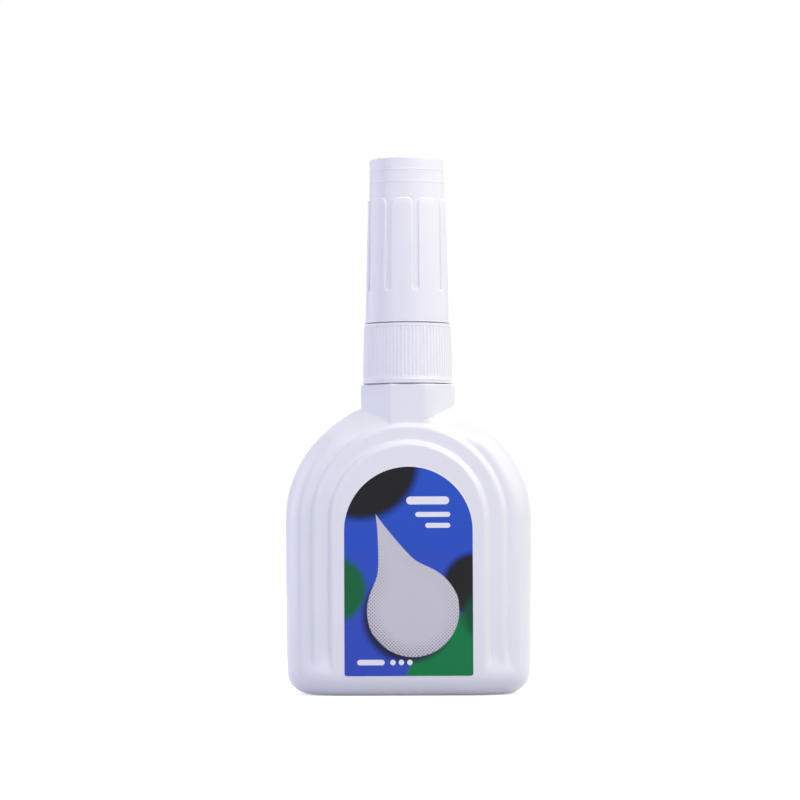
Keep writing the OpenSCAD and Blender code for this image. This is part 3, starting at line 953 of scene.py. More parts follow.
    def seat(self, point: Vector) -> Sequence[float]:
        """Lean the sides in, end the treads in the base band, and round the lower edge.

        Args:
            point: A point of the straight shell.

        Returns:
            Its place on the finished base.
        """
        x, y, z = abs(point.x), abs(point.y), point.z
        if z > self.draft_start:
            return point
        lean = min(1.0, (self.draft_start - z) / (self.draft_start - self.edge_r))
        lean **= self.draft_power
        x -= self.side_draft * lean * smooth_step(self.half_w - self.side_w, self.half_w, x)
        flush = self.band(x, y, 0)
        if z < self.edge_r:
            turn = (self.edge_r - z) / self.edge_r
            wide = self.edge_r + self.corner_extra * smooth_step(*self.corner_grow, x)
            x, y = self.band(x, y, wide * (1 - math.cos(turn)))
            z = self.edge_r * (1 - math.sin(turn))
        else:
            gap = self.ramp * (math.hypot(z - self.edge_r, self.ramp_r) - self.ramp_r)
            depth = math.hypot(flush[0] - x, flush[1] - y)
            if depth > WELD:
                blend = min(self.ramp_blend, 0.8 * depth)
                kept = max(0.0, smooth_min(depth, gap, blend)) / depth
                x, y = flush[0] + (x - flush[0]) * kept, flush[1] + (y - flush[1]) * kept
        return math.copysign(x, point.x), math.copysign(y, point.y), z

    def taper(self, point: Vector) -> Sequence[float]:
        """Flatten the rounded side into a slope where the arch comes up to the neck.

        Args:
            point: A point of the shell.

        Returns:
            Its place on the slope, or its own place elsewhere.
        """
        lift = point.z - self.arch_z
        radius = math.hypot(point.x, lift)
        turn = math.degrees(math.atan2(abs(point.x), lift)) if lift > 0 else 90
        depth = abs(point.y)
        plane = self.half_d - 2 * self.step_h - self.slope * (radius - self.slope_start)
        near = radius > self.slope_start - 1
        sloped = smooth_min(depth, plane, self.slope_blend) if near else depth
        depth += (max(0.0, sloped) - depth) * (1 - smooth_step(*self.slope_fade, turn))
        return point.x, math.copysign(depth, point.y), point.z

    def block_way(self, point: Vector) -> tuple[float, Vector]:
        """Where a point lies from the block's eight sides.

        Args:
            point: The point.

        Returns:
            How far it lies outside, and the way out.
        """
        x, y = abs(point.x), abs(point.y)
        cut = self.right_cut if point.x > 0 else self.block_cut
        corner = (self.block_w + self.block_d) / 2 - cut
        gaps = [(x - self.block_w / 2, (1, 0)), (y - self.block_d / 2, (0, 1)),
                ((x + y - corner) / math.sqrt(2), (math.sqrt(0.5), math.sqrt(0.5)))]
        (near, side), (gap, way) = sorted(gaps)[1:]
        # The upright edge is rounded, so there the two nearest sides run into each other
        blend = 0.8 * (self.right_edge if point.x > 0 else self.left_edge)
        share = max(0.0, blend - gap + near) / blend / 2
        gap += blend * share * share
        way = Vector(way).lerp(Vector(side), share)
        return gap, Vector((math.copysign(way.x, point.x), math.copysign(way.y, point.y), 0))

    def soften_joint(self, piece: Workpiece) -> None:
        """Raise the arches round the block's foot into a soft hollow joint.

        Args:
            piece: The shell, before the block is united with it.
        """
        mesh = piece.obj.data
        low = self.block_foot - self.joint_h
        moved = {}
        for vert in mesh.vertices:
            start = vert.co.copy()
            gap, way = self.block_way(start)
            from_left = smooth_step(*self.left_turn, start.x)
            to_right = smooth_step(*self.right_turn, start.x)
            width = (self.left_fillet + (self.front_fillet - self.left_fillet) * from_left
                     + (self.right_fillet - self.front_fillet) * to_right)
            if start.z < low or not -2 * width < gap < width:
                continue
            place, out = start.copy(), vert.normal.copy()
            if gap < -width:
                # Under the block the points are drawn together towards its edge
                moved[vert.index] = start - way * (gap + 0.25 * (-gap - width))
                continue
            # Five short steps bring the point onto the hollow between the arch and the block
            for _ in range(5):
                gap, way = self.block_way(place)
                own = (place - start).dot(out)
                share = min(1.0, max(0.0, 0.5 + 0.5 * (gap - own) / width))
                value = gap + (own - gap) * share - width * share * (1 - share)
                climb = way.lerp(out, share)
                place -= climb * value / max(climb.length_squared, 0.2)
            moved[vert.index] = place
        for index, place in moved.items():
            mesh.vertices[index].co = place
        mesh.update()

    def shell(self) -> Workpiece:
        """Spin the arch, pull its ends down to the base, mirror the front and close the base.

        Returns:
            The closed shell.
        """
        section = self.section()
        piece = Ring("bottle_shell", [(x, -y, self.arch_z) for x, y in section], closed=False)
        around = {"center": (0, 0, self.arch_z), "axis": (0, 1, 0)}
        with piece.editing():
            bpy.ops.mesh.select_all(action="SELECT")
            bpy.ops.mesh.spin(steps=self.arch_steps, angle=math.pi, **around)
            bpy.ops.mesh.select_all(action="SELECT")
            bpy.ops.mesh.remove_doubles(threshold=WELD)
            level = self.arch_z
            piece.pick_edges(lambda a, b: max(abs(a.z - level), abs(b.z - level)) < WELD)
            for target in self.levels():
                drop = {"value": (0, 0, target - level)}
                bpy.ops.mesh.extrude_region_move(TRANSFORM_OT_translate=drop)
                level = target
        piece.shape(self.seat)
        piece.shape(self.taper)
        piece.modify("MIRROR", use_axis=(False, True, False), use_clip=True,
                     merge_threshold=WELD)
        with piece.editing():
            piece.pick_edges(lambda a, b: max(a.z, b.z) < WELD)
            bpy.ops.mesh.edge_face_add()
            bpy.ops.mesh.inset(thickness=self.foot_w, depth=0)
            bpy.ops.mesh.extrude_region_move(TRANSFORM_OT_translate={"value": (0, 0, self.recess_h)})
            bpy.ops.mesh.inset(thickness=self.recess_h / 2, depth=0)
        piece.tidy()
        self.soften_joint(piece)
        return piece

    def levels(self) -> list[float]:
        """Heights of the rows of points below the arch.

        Returns:
            The heights from the top down. Those of the lower round are counted along it.
        """
        ramp = [self.draft_start + (self.edge_r - self.draft_start) * k / self.ramp_rows
                for k in range(self.ramp_rows + 1)]
        lower = [self.edge_r * (1 - math.pi / 2 * k / self.round_rows)
                 for k in range(1, self.round_rows + 1)]
        return [*self.upper_rows, *ramp, *lower]

    def block(self) -> Workpiece:
        """The eight-sided neck block, with softly rounded edges.

        Returns:
            The block, whose foot lies inside the shell.
        """
        height = self.block_top - self.block_foot
        piece = Workpiece("neck_block", bpy.ops.mesh.primitive_cube_add, size=1,
                          location=(0, 0, self.block_foot + height / 2),
                          scale=(self.block_w, self.block_d, height))
        bpy.ops.object.transform_apply(location=True, rotation=False, scale=True)
        with piece.editing():
            for way, offset, segments in (
                    (-1, self.block_cut, 1), (-1, self.left_edge, 3),
                    (1, self.right_cut, 1), (1, self.right_edge, 6)):
                piece.pick_edges(lambda a, b: abs(a.z - b.z) > height / 2 and a.x * way > 0)
                bpy.ops.mesh.bevel(offset=offset, segments=segments, affect="EDGES")
            piece.pick_edges(lambda a, b: min(a.z, b.z) > self.block_top - WELD)
            bpy.ops.mesh.bevel(offset=self.block_rim, segments=3, affect="EDGES")
            piece.slice_at((0, 0, 1), [self.block_foot + k * self.block_row for k in range(1, 12)])
        return piece

    def neck(self) -> Workpiece:
        """The round neck with its snap bead and bore, which the holder hides.

        Returns:
            The neck, whose foot lies inside the block.
        """
        foot = self.block_top - self.neck_root
        bead = arc((self.neck_r - 0.02, self.bead_z), self.bead_r, -80, 80, 8)
        outline = ([(0, foot), (self.neck_r, foot)] + bead
                   + rounded([(self.neck_r, self.neck_top - 2), (self.neck_r, self.neck_top, 0.3),
                              (self.neck_bore, self.neck_top, 0.3),
                              (self.neck_bore, self.block_top - self.bore_root),
                              (0, self.block_top - self.bore_root)], closed=False))
        return Turning("neck", outline, 96)

    def build(self, finish: Material) -> None:
        """Unite the shell, block and neck, and hand the bottle to the frame.

        Args:
            finish: The blown plastic.
        """
        piece = self.shell()
        piece.unite(self.block())
        piece.unite(self.neck())
        piece.tidy()
        piece.settle(Body.BOTTLE, finish, "bottle_plastic", "bottle_body")


@dataclass
class NozzleHolder:
    """The ribbed moulding that snaps on the neck and carries the nose."""

    # Outside radius at the foot and at the shoulder of the ribbed part
    foot_r: float = 9.2
    shoulder_r: float = 8.85
    shoulder_z: float = 75.2
    # Inside, over the bottle's neck
    neck_r: float = 7.63
    ceiling_z: float = 73.5
    # Grip ribs, parted by grooves
    rib_n: int = 72
    rib_d: float = 0.14
    rib_foot: float = 1.4
    rib_head: float = 0.7
    # Rows of points across one rib and its groove
    columns: int = 6
    # Fine bead on the plain band below the ribs
    bead_r: float = 0.25
    bead_d: float = 0.06
    # Rounding of the foot and of the shoulder
    rim_r: float = 0.12
    brim_r: float = 0.06
    # Collar that the cap grips, the nose above it, and its bore
    spigot_r: float = 6.9
    spigot_top: float = 79.7
    nose_foot_r: float = 5.6
    nose_top_r: float = 3.0
    bore_foot_r: float = 4.1
    # Plug ring that seals in the bottle's neck
    plug_r: float = 6.24
    plug_t: float = 1.0
    plug_foot: float = 69.9
    # Socket that the metal tip is pressed into
    socket_r: float = 2.03
    socket_z: float = 86.8
    ledge_r: float = 1.6
    foot_z: float = field(init=False)
    nose_z: float = field(init=False)

    def __post_init__(self) -> None:
        """Take the lowest and highest places from the frame."""
        low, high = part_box("nozzle_holder")
        self.foot_z, self.nose_z = low.z / MM, high.z / MM

    def radius(self, z: float) -> float:
        """Outside radius of the ribbed part at a height."""
        share = (z - self.foot_z) / (self.shoulder_z - self.foot_z)
        return self.foot_r + (self.shoulder_r - self.foot_r) * share

    def outline(self) -> list[Point]:
        """Half of the section.

        Returns:
            Its points, up the outside and down the inside.
        """
        bead_z = self.foot_z + self.rib_foot / 2
        bead_turn = math.degrees(math.acos(1 - self.bead_d / self.bead_r))
        bead = arc((self.radius(bead_z) + self.bead_d - self.bead_r, bead_z), self.bead_r,
                   -bead_turn, bead_turn, 6)
        low, high = self.foot_z + self.rib_foot, self.shoulder_z - self.rib_head
        run_out = self.rib_d / 3
        rows = [(self.radius(z), z) for z in (low - run_out, low, high, high + run_out)]
        foot = rounded([(self.neck_r, self.foot_z), (self.foot_r, self.foot_z, self.rim_r),
                        (self.radius(bead_z - 0.4), bead_z - 0.4)], closed=False)
        upper = rounded([
            rows[-1], (self.shoulder_r, self.shoulder_z, self.brim_r),
            (self.spigot_r, self.shoulder_z, 0.25),
            (self.spigot_r, self.spigot_top, 0.35), (self.nose_foot_r, self.spigot_top, 0.5),
            (self.nose_top_r, self.nose_z, 0.3), (self.socket_r, self.nose_z, 0.12),
            (self.socket_r, self.socket_z), (self.ledge_r, self.socket_z, 0.1),
            (self.bore_foot_r, self.spigot_top, 1.0),
            (self.plug_r - self.plug_t, self.ceiling_z, 0.8),
            (self.plug_r - self.plug_t, self.plug_foot, 0.25), (self.plug_r, self.plug_foot, 0.3),
            (self.plug_r, self.ceiling_z), (self.neck_r, self.ceiling_z, 0.2),
            (self.neck_r, self.foot_z)], closed=False)
        return foot + bead + rows[:-1] + upper[:-1]

    def build(self, finish: Material) -> None:
        """Turn the holder, sink the grooves between its ribs and hand it to the frame.

        Args:
            finish: The moulded plastic.
        """
        count = self.rib_n * self.columns
        piece = Turning("holder_moulding", self.outline(), count)
        low, high = self.foot_z + self.rib_foot, self.shoulder_z - self.rib_head
        for column in range(self.columns):
            depth = self.rib_d * (0.5 + 0.5 * math.cos(math.tau * column / self.columns))
            share = 1 - depth / self.radius((low + high) / 2)
            with piece.editing():
                piece.pick_points(
                    lambda point: low - WELD < point.z < high + WELD
                    and math.hypot(point.x, point.y) > self.neck_r + 1
                    and round(math.atan2(point.y, point.x) / math.tau * count)
                    % self.columns == column)
                bpy.ops.transform.resize(value=(share, share, 1), center_override=(0, 0, 0))
        piece.settle(Body.BOTTLE, finish, "holder_plastic", "nozzle_holder")


@dataclass
class PullCap:
    """The fluted pull-off cap: a drafted core inside nine raised panels, with a soft pad."""

    # Outside radius of the panels at the mouth and at their tops
    mouth_panel_r: float = 8.7
    top_panel_r: float = 8.1
    # The plain core: radius and rounding at the top, and draft
    top_r: float = 7.72
    core_slope: float = 0.0145
    edge_r: float = 0.36
    # Heights of the plain crown above the panels, and of the skirt below their grooves
    crown_h: float = 8.3
    skirt_h: float = 6.5
    groove_n: int = 9
    groove_w: float = 1.2
    # Angle of one groove to the right of the front, in degrees
    groove_turn: float = 11.8
    # Rounding of the panels' upper corners, of their edges and of the cap's foot
    panel_corner_r: float = 1.15
    panel_edge: float = 0.26
    foot_edge: float = 0.05
    panel_t: float = 1.0
    # Strips across one panel, which let it be wrapped round the core
    strips: int = 16
    # Fine rings round the plain top
    ring_r: float = 0.25
    ring_d: float = 0.055
    ring_drops: tuple[float, float] = (2.5, 4.95)
    # Mark left by the moulding gate in the middle of the top
    gate_r: float = 0.9
    gate_d: float = 0.15
    # Inside: the mouth that grips the collar, and the bore above it
    mouth_r: float = 6.98
    mouth_h: float = 5.5
    bore_foot_r: float = 6.57
    bore_top_r: float = 6.37
    # The ring that holds the pad: clearance, wall, and how much of the pad stands out of it
    pad_gap: float = 0.03
    ring_wall: float = 1.0
    pad_show: float = 0.3
    foot_z: float = field(init=False)
    top_z: float = field(init=False)
    pad_r: float = field(init=False)
    pad_z: float = field(init=False)
    pad_top: float = field(init=False)

    def __post_init__(self) -> None:
        """Take the cap's and the pad's places from the frame."""
        low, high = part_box("cap")
        self.foot_z, self.top_z = low.z / MM, high.z / MM
        low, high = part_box("cap_seal")
        self.pad_r, self.pad_z, self.pad_top = high.x / MM, low.z / MM, high.z / MM

    def core_r(self, z: float) -> float:
        """Radius of the plain core at a height."""
        return self.top_r + (self.top_z - z) * self.core_slope

    def core(self) -> Turning:
        """The plain core, closed at its top, with the fine rings and the pad's ring.

        Returns:
            The core, before the panels are united with it.
        """
        reach = math.degrees(math.acos(1 - self.ring_d / self.ring_r))
        points = [(0, self.top_z - self.gate_d), (self.gate_r - 0.2, self.top_z - self.gate_d),
                  (self.gate_r, self.top_z)]
        points += arc((self.top_r - self.edge_r, self.top_z - self.edge_r), self.edge_r, 90, 0, 6)
        for drop in self.ring_drops:
            z = self.top_z - drop
            points += arc((self.core_r(z) + self.ring_d - self.ring_r, z), self.ring_r,
                          reach, -reach, 6)
        mouth_top = self.foot_z + self.mouth_h
        wall_r = self.pad_r + self.pad_gap
        points += rounded([
            (self.core_r(self.foot_z), self.foot_z + self.foot_edge),
            (self.core_r(self.foot_z), self.foot_z), (self.mouth_r, self.foot_z, 0.3),
            (self.mouth_r, mouth_top, 0.3), (self.bore_foot_r, mouth_top + 1, 0.3),
            (self.bore_top_r, self.pad_top, 0.5), (wall_r + self.ring_wall, self.pad_top, 0.2),
            (wall_r + self.ring_wall, self.pad_z + self.pad_show, 0.2),
            (wall_r, self.pad_z + self.pad_show, 0.2), (wall_r, self.pad_top), (0, self.pad_top)],
            closed=False)
        return Turning("cap_moulding", points, 144)

    def panels(self) -> Workpiece:
        """The raised panels: one panel is cut out flat, repeated and wrapped round the core.

        Returns:
            All panels as one closed ring.
        """
        flat_r = (self.mouth_panel_r + self.top_panel_r) / 2
        half = math.pi * flat_r / self.groove_n
        notch, corner = self.groove_w / 2, self.panel_corner_r
        panel_top = self.top_z - self.crown_h
        foot = self.foot_z + self.skirt_h + notch
        outline = ([(-half, self.foot_z), (half, self.foot_z)]
                   + arc((half, foot), notch, 270, 180, 5)
                   + arc((half - notch - corner, panel_top - corner), corner, 0, 90, 6)
                   + arc((notch + corner - half, panel_top - corner), corner, 90, 180, 6)
                   + arc((-half, foot), notch, 0, -90, 5))
        piece = Ring("cap_panels", [(x, 0, z) for x, z in outline])
        face = -self.panel_t
        with piece.editing():
            piece.pull_out(face)
            foot_level = self.foot_z + WELD
            piece.pick_edges(lambda a, b: max(a.y, b.y) < face + WELD
                             and max(a.z, b.z) < foot_level)
            bpy.ops.mesh.bevel(offset=self.foot_edge, segments=2, affect="EDGES")
            piece.pick_edges(lambda a, b: max(a.y, b.y) < face + WELD
                             and min(a.z, b.z) > foot_level + self.foot_edge
                             and abs(a.x + b.x) < 2 * half - WELD)
            bpy.ops.mesh.bevel(offset=self.panel_edge, segments=3, affect="EDGES")
            piece.pick_faces(lambda middle: abs(middle.x) > half - WELD)
            bpy.ops.mesh.delete(type="FACE")
            piece.slice_at((1, 0, 0), [half * (2 * k / self.strips - 1)
                                       for k in range(1, self.strips)])
            # Rows just clear of the grooves' ends and of the corners keep the faces even there
            piece.slice_at((0, 0, 1), (foot - notch - 0.5, foot + 0.3, panel_top - corner - 0.3))
        piece.modify("ARRAY", count=self.groove_n, use_relative_offset=False,
                     use_constant_offset=True, constant_offset_displace=(2 * half, 0, 0),
                     use_merge_vertices=True, merge_threshold=WELD)
        start = math.radians(self.groove_turn - 90) + math.pi / self.groove_n

        def wrap(point: Vector) -> Sequence[float]:
            """Wrap a point of the flat panels round the core.

            Args:
                point: Its place on the flat strip.

            Returns:
                Its place round the core.
            """
            share = (point.z - self.foot_z) / (panel_top - self.foot_z)
            radius = (self.mouth_panel_r + (self.top_panel_r - self.mouth_panel_r) * share
                      + face - point.y)
            turn = start + point.x / flat_r
            return radius * math.cos(turn), radius * math.sin(turn), point.z

        piece.shape(wrap)
        piece.tidy()
        return piece

    def pad(self) -> Turning:
        """The soft pad that closes over the tip, with a dimple where the needle meets it.

        Returns:
            The pad.
        """
        points = [(0, self.pad_z + 0.12), (0.5, self.pad_z + 0.1), (0.9, self.pad_z)]
        return Turning("cap_pad", points + rounded([
            (1.2, self.pad_z), (self.pad_r, self.pad_z, 0.25), (self.pad_r, self.pad_top),
            (0, self.pad_top)], closed=False), 64)

    def build(self, finish: Material, pad_finish: Material) -> None:
        """Unite the core with its panels, and add the pad.

        Args:
            finish: The moulded plastic.
            pad_finish: The pad's foam.
        """
        piece = self.core()
        piece.unite(self.panels())
        piece.tidy()
        piece.settle(Body.CAP, finish, "cap_plastic", "cap")
        self.pad().settle(Body.CAP, pad_finish, "pad_rubber", "cap_seal")


@dataclass
class SprungTip:
    """The metal tip with its sealing ring, needle and spring."""

    # The tip: outside, and the chamber and hole inside
    shank_r: float = 2.0
    chamber_r: float = 1.35
    flange_t: float = 0.6
    cone_h: float = 3.5
    tube_r: float = 0.95
    hole_r: float = 0.5
    # Conical seat that the needle closes, and the needle's play under it
    seat_top: float = 99.9
    seat_h: float = 1.2
    seat_gap: float = 0.28
    # The needle
    tail_r: float = 0.7
    head_r: float = 1.15
    head_z: float = 97.22
    head_h: float = 1.4
    pin_r: float = 0.45
    # How far it is pressed in
    travel: float = 0.7
    # The spring
    coil_r: float = 1.025
    wire_r: float = 0.12
    turns: int = 6
    # Bore of the gasket in the neck
    gasket_r: float = 6.33

    def tip(self) -> Turning:
        """The turned tip: shank, flange, cone and writing tube.

        Returns:
            The tip.
        """
        low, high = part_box("metal_tip")
        flange_r, foot, top = high.x / MM, low.z / MM, high.z / MM
        flange_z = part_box("tip_seal")[1].z / MM
        cone_z = flange_z + self.flange_t
        return Turning("writing_tip", rounded([
            (self.chamber_r, foot, 0.1), (self.shank_r, foot, 0.2), (self.shank_r, flange_z),
            (flange_r, flange_z, 0.1), (flange_r, cone_z, 0.15), (self.shank_r, cone_z, 0.2),
            (self.tube_r, cone_z + self.cone_h, 0.8), (self.tube_r, top, 0.2),
            (self.hole_r, top, 0.1), (self.hole_r, self.seat_top),
            (self.chamber_r, self.seat_top - self.seat_h)]), 64)

    def seal(self, name: str, bore: float, corner: float) -> Turning:
        """A rubber ring with rounded edges, at the place of its node.

        Args:
            name: The node.
            bore: Radius of the ring's hole.
            corner: Rounding of its edges.

        Returns:
            The ring.
        """
        low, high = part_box(name)
        reach, foot, top = high.x / MM, low.z / MM, high.z / MM
        return Turning(name + "_ring", rounded([
            (bore, foot, corner), (reach, foot, corner), (reach, top, corner),
            (bore, top, corner)]), 96)

    def needle(self) -> Turning:
        """The needle: tail, head with its valve cone, and the pin that meets the paper.

        Returns:
            The needle.
        """
        low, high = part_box("valve_needle")
        foot, top = low.z / MM, high.z / MM
        head_top = self.head_z + self.head_h
        return Turning("sprung_needle", rounded([
            (0, foot), (self.tail_r, foot, 0.15), (self.tail_r, self.head_z),
            (self.head_r, self.head_z, 0.12), (self.head_r, head_top, 0.1),
            (self.pin_r, self.seat_top - self.seat_gap), (self.pin_r, top, 0.3), (0, top)],
            closed=False), 48)

    def spring(self) -> Workpiece:
        """The coil spring, a circle of wire drawn along a helix.

        Returns:
            The spring, with its wire's ends closed.
        """
        low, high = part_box("valve_spring")
        foot, top = low.z / MM + self.wire_r, high.z / MM - self.wire_r
        piece = Workpiece("coil_spring", bpy.ops.mesh.primitive_circle_add, vertices=10,
                          radius=self.wire_r, location=(self.coil_r, 0, foot),
                          rotation=(math.pi / 2, 0, 0))
        bpy.ops.object.transform_apply(location=True, rotation=True, scale=True)
        piece.modify("SCREW", axis="Z", angle=math.tau, iterations=self.turns, steps=36,
                     render_steps=36, screw_offset=(top - foot) / self.turns, use_normal_calculate=True)
        with piece.editing():
            piece.pick_edges(lambda a, b: abs(a.y) + abs(b.y) < WELD
                             and (max(a.z, b.z) < foot + 2 * self.wire_r
                                  or min(a.z, b.z) > top - 2 * self.wire_r))
            bpy.ops.mesh.edge_face_add()
        piece.tidy()
        return piece

    def build(self, steel: Material, wire: Material, rubber: Material) -> None:
        """Add the tip, the needle, the spring and the two sealing rings.

        Args:
            steel: Finish of the tip and the needle.
            wire: Finish of the spring.
            rubber: Finish of the rings.
        """
        self.tip().settle(Body.BOTTLE, steel, "tip_steel", "metal_tip")
        self.seal("tip_seal", self.shank_r, 0.12).settle(
            Body.BOTTLE, rubber, "seal_rubber", "tip_seal")
        self.seal("neck_gasket", self.gasket_r, 0.15).settle(
            Body.BOTTLE, rubber, "seal_rubber", "neck_gasket")
        self.needle().settle(Body.NEEDLE, steel, "tip_steel", "valve_needle")
        spring = self.spring().settle(Body.BOTTLE, wire, "spring_steel", "valve_spring")
        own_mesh(spring)


@dataclass
class Label:
    """The arched film label on the front panel."""

    corner_r: float = 0.5
    edge_r: float = 0.03

    def build(self, finish: Material) -> None:
        """Cut the film to its arch, give it its thickness and round its front edge.

        Args:
            finish: The printed film.
        """
        low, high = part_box("front_label")
        half, foot, top = high.x / MM, low.z / MM, high.z / MM
        front, back = low.y / MM, high.y / MM
        corners = [(-half, foot, self.corner_r), (half, foot, self.corner_r), (half, foot + 2)]
        outline = rounded(corners + [(-half, foot + 2)])[:-2]
        outline += arc((0, top - half), half, 0, 180, 64)
        piece = Ring("label_print", [(x, back, z) for x, z in outline])
        with piece.editing():
            piece.pull_out(front - back)
            piece.pick_edges(lambda a, b: max(a.y, b.y) < front + WELD)
            bpy.ops.mesh.bevel(offset=self.edge_r, segments=2, affect="EDGES")
        piece.tidy()
        piece.settle(Body.BOTTLE, finish, "label_film", "front_label")


@dataclass(frozen=True)
class Lamp:
    """A soft rectangular lamp that faces the object."""

    name: str
    # Degrees to the right of the front, and above the horizon
    azimuth: float
    elevation: float
    # Distance, width and height, in millimetres
    distance: float
    width: float
    height: float
    # Share of the light that a white card facing the lamp would send back
    level: float
    colour: str

    def add(self, aim: Vector) -> None:
        """Put the lamp up.

        Args:
            aim: The place that it faces, in metres.
        """
        data = bpy.data.lights.new(self.name, "AREA")
        data.shape = "RECTANGLE"
        data.size, data.size_y = self.width * MM, self.height * MM
        data.energy = self.level * (math.pi * self.distance * MM) ** 2
        data.color = linear(self.colour)[:3]
        lamp = bpy.data.objects.new(self.name, data)
        bpy.context.scene.collection.objects.link(lamp)
        side, rise = math.radians(self.azimuth), math.radians(self.elevation)
        way = Vector((math.sin(side) * math.cos(rise), -math.cos(side) * math.cos(rise),
                      math.sin(rise)))
        turn = (-way).to_track_quat("-Z", "Y").to_matrix().to_4x4()
        lamp.matrix_world = Matrix.Translation(aim + way * self.distance * MM) @ turn


@dataclass
class Studio:
    """Camera, floor and soft light, as in the photograph."""

    # The camera is level with this height, this far away, and aims at the picture's middle
    eye_z: float = 41.4
    distance: float = 600.0
    aim: Point = (-1.6, 59.8)
    # Pixels for each millimetre at the bottle's middle, in a picture of 800 pixels
    scale: float = 4.894
    picture: int = 800
    roll: float = -0.23
    # Light from all round, and the floor's own colour, which the camera sees as white
    ambient: float = 0.12
    ambient_colour: str = "#bcbcff"
    floor_colour: str = "#c6c6d2"
    floor_glow: float = 0.55
    # Distances from the bottle between which the floor turns to plain white
    floor_fade: tuple[float, float] = (80, 260)
    # The floor lies a hair below the base, so that the two faces don't flicker
    floor_z: float = -0.02
    floor_w: float = 8000
    lamps: tuple[Lamp, ...] = (
        Lamp("key_right", 60, 40, 450, 400, 400, 0.605, "#fffef1"),
        Lamp("key_top", 20, 60, 450, 400, 400, 0.295, "#fffff5"),
        Lamp("front_high", 0, 45, 350, 300, 300, 0.225, "#fff8fa"),
        Lamp("low_left", -40, 5, 500, 400, 400, 0.385, "#dee6ff"),
        Lamp("side_right", 105, 25, 500, 400, 400, 0.2, "#f4fff9"),
        Lamp("side_left", -110, 10, 500, 400, 400, 0.335, "#f2f7ff"),
        Lamp("back", 180, 25, 500, 400, 400, 0.4, "#fbfaff"),
    )

    def camera(self) -> None:
        """Add the camera at the photograph's place and angle."""
        data = bpy.data.cameras.new("camera")
        data.sensor_width = 36
        data.lens = self.scale * self.distance / self.picture * data.sensor_width
        data.clip_start, data.clip_end = 0.01, 20
        camera = bpy.data.objects.new("camera", data)
        bpy.context.scene.collection.objects.link(camera)
        place = Vector((0, -self.distance, self.eye_z)) * MM
        aim = Vector((self.aim[0], 0, self.aim[1])) * MM
        turn = (aim - place).to_track_quat("-Z", "Y").to_matrix().to_4x4()
        camera.matrix_world = (Matrix.Translation(place) @ turn
                               @ Matrix.Rotation(math.radians(self.roll), 4, "Z"))
        bpy.context.scene.camera = camera

    def seen(self, tree: NodeTree) -> NodeSocket:
        """Tell the rays that show the surroundings: from the camera, mirrored or let through.

        Args:
            tree: The floor's or the world's node tree.

        Returns:
            1 for such rays and 0 for others.
        """
        rays = add_node(tree, "ShaderNodeLightPath").outputs
        shown = rays["Is Camera Ray"]
        for name in ("Is Glossy Ray", "Is Transmission Ray"):
            shown = add_node(tree, "ShaderNodeMath", {0: shown, 1: rays[name]},
                             operation="MAXIMUM").outputs[0]
        return shown

    def floor(self) -> None:
        """Add the pale floor, which looks white but for the bottle's soft shadow."""
        bpy.ops.object.select_all(action="DESELECT")
        bpy.ops.mesh.primitive_plane_add(size=self.floor_w * MM, location=(0, 0, self.floor_z * MM))
        floor = bpy.context.object
        floor.name = "floor"
        material = bpy.data.materials.new("painted floor board")
        material.use_nodes = True
        tree = material.node_tree
        tree.nodes.remove(tree.nodes["Principled BSDF"])
        board = add_node(tree, "ShaderNodeBsdfDiffuse", {"Color": linear(self.floor_colour)})
        bright = add_node(tree, "ShaderNodeBsdfDiffuse", {"Color": (1, 1, 1, 1)})
        place = add_node(tree, "ShaderNodeTexCoord").outputs["Object"]
        away = add_node(tree, "ShaderNodeVectorMath", {0: place}, operation="LENGTH")
        fade = add_node(tree, "ShaderNodeMapRange", {
            "Value": away.outputs["Value"], "From Min": self.floor_fade[0] * MM,
            "From Max": self.floor_fade[1] * MM, "To Min": self.floor_glow})
        glow = add_node(tree, "ShaderNodeEmission", {"Color": (1, 1, 1, 1), "Strength": fade})
        white = add_node(tree, "ShaderNodeAddShader", {0: bright, 1: glow})
        mixed = add_node(tree, "ShaderNodeMixShader", {0: self.seen(tree), 1: board, 2: white})
        tree.links.new(mixed.outputs[0], tree.nodes["Material Output"].inputs["Surface"])
        floor.data.materials.append(material)
        floor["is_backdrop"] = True

    def world(self) -> None:
        """White where it is seen, and a plain cool light on everything else."""
        world = bpy.data.worlds.new("studio")
        bpy.context.scene.world = world
        world.use_nodes = True
        tree = world.node_tree
        tree.nodes.remove(tree.nodes["Background"])
        soft = add_node(tree, "ShaderNodeBackground", {"Color": linear(self.ambient_colour),
                                                       "Strength": self.ambient})
        white = add_node(tree, "ShaderNodeBackground", {"Color": (1, 1, 1, 1), "Strength": 1.0})
        mixed = add_node(tree, "ShaderNodeMixShader", {0: self.seen(tree), 1: soft, 2: white})
        tree.links.new(mixed.outputs[0], tree.nodes["World Output"].inputs["Surface"])

    def build(self) -> None:
        """Set up the camera, the floor and the light."""
        bpy.context.scene.view_settings.view_transform = "Standard"
        self.camera()
        self.floor()
        self.world()
        for lamp in self.lamps:
            lamp.add(Vector((0, 0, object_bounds()[1][2] / 2)))


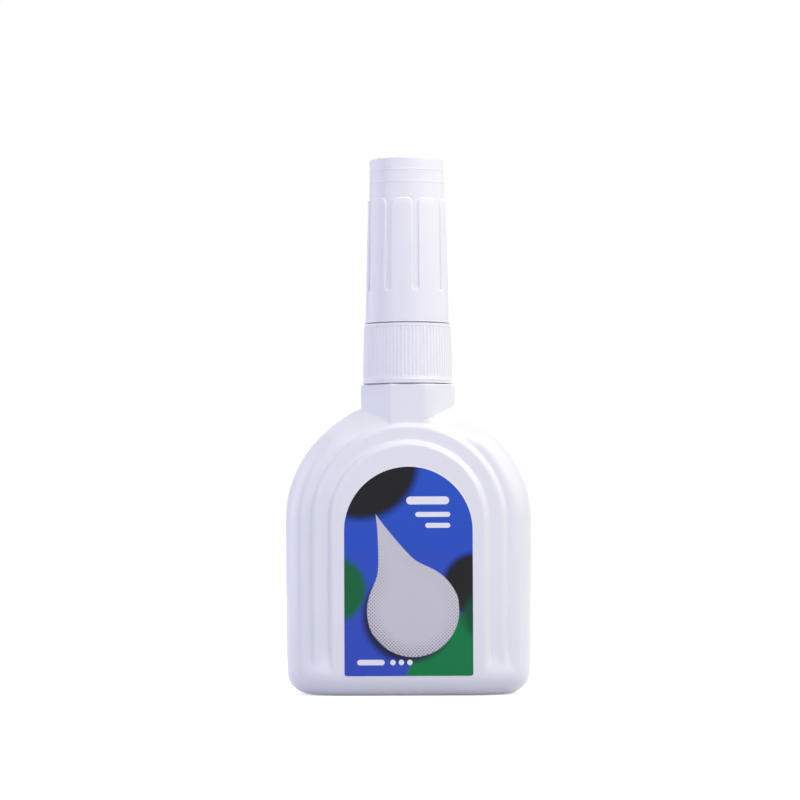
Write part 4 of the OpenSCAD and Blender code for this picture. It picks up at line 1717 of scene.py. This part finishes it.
def main() -> None:
    """Load the frame, build each piece round it and light it."""
    logging.basicConfig(level=logging.INFO, format="%(name)s: %(message)s")
    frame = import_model()
    Studio().build()
    # Blown polyethylene looks milky and softly glossy, with slow waves in its skin
    blown = BlownPlastic("blown high-density polyethylene", "#eeedf2", 0.32, 1.54, shade="#e8e8ee")
    # Polypropylene copies its polished steel mould, so it is flatter and cleaner
    moulded = Plastic("moulded polypropylene", "#eeedf2", 0.32, 1.49, shade="#ebeaf0", wave=8,
                      wave_depth=0.004, peel_depth=0.0004).make()
    # The ink lies deep under clear film, whose gloss stays faint over the dark fields
    film = LabelPrint("printed polypropylene film", "#2c57c4", 0.32, specular=0.2)
    # Foamed polyethylene has small soft cells and no gloss
    pad = Grained("foamed polyethylene pad", "#d6d6da", 0.65, 1.5, shade="#c2c2c8", patch=1.5,
                  grain=0.35, grain_depth=0.02, cells=True)
    # Turned stainless steel shines in streaks that run round it
    steel = TurnedSteel("turned stainless steel", "#acacae", 0.2, metallic=1)
    # Drawn wire is darker and duller, with a skin of drawing soap left in patches
    wire = Grained("drawn spring wire", "#96979b", 0.22, metallic=1, shade="#7e7f83", patch=0.4,
                   grain=0.06, grain_depth=0.0008)
    # Nitrile rubber is nearly black, with a dull skin and a fine grain
    rubber = Grained("nitrile rubber", "#222226", 0.55, 1.52, shade="#2e2e33", patch=2,
                     grain=0.15, grain_depth=0.003)
    # The ball is ground and polished, with a faint haze from the fluid's pigment
    ball = Grained("polished bearing steel", "#acaeb2", 0.12, metallic=1, shade="#a0a2a6",
                   patch=1.5, grain=0.1, grain_depth=0.0002, stray=0.5)
    # The fluid is thick white pigment in a solvent: opaque, wet and even, with slow ripples
    fluid = Grained("titanium white fluid", "#f1f0ea", 0.2, 1.45, shade="#e9e8e1", patch=5,
                    grain=2.5, grain_depth=0.02)
    # Natural acetal is a waxy off-white with a soft shine
    acetal = Grained("natural acetal", "#dddbd2", 0.42, 1.48, shade="#d3d1c8", patch=2,
                     grain=0.5, grain_depth=0.001, stray=0.1)
    BottleShell().build(blown.make())
    NozzleHolder().build(moulded)
    PullCap().build(moulded, pad.make())
    SprungTip().build(steel.make(), wire.make(), rubber.make())
    Label().build(film.make())
    for name, finish in (("mixing_ball", ball), ("correction_fluid", fluid),
                         ("spring_retainer", acetal)):
        frame["nodes"][name].material_slots[0].material = finish.make()
        LOG.info("%s: the frame's own solid, in %s", name, finish.name)


if __name__ == "__main__":
    main()
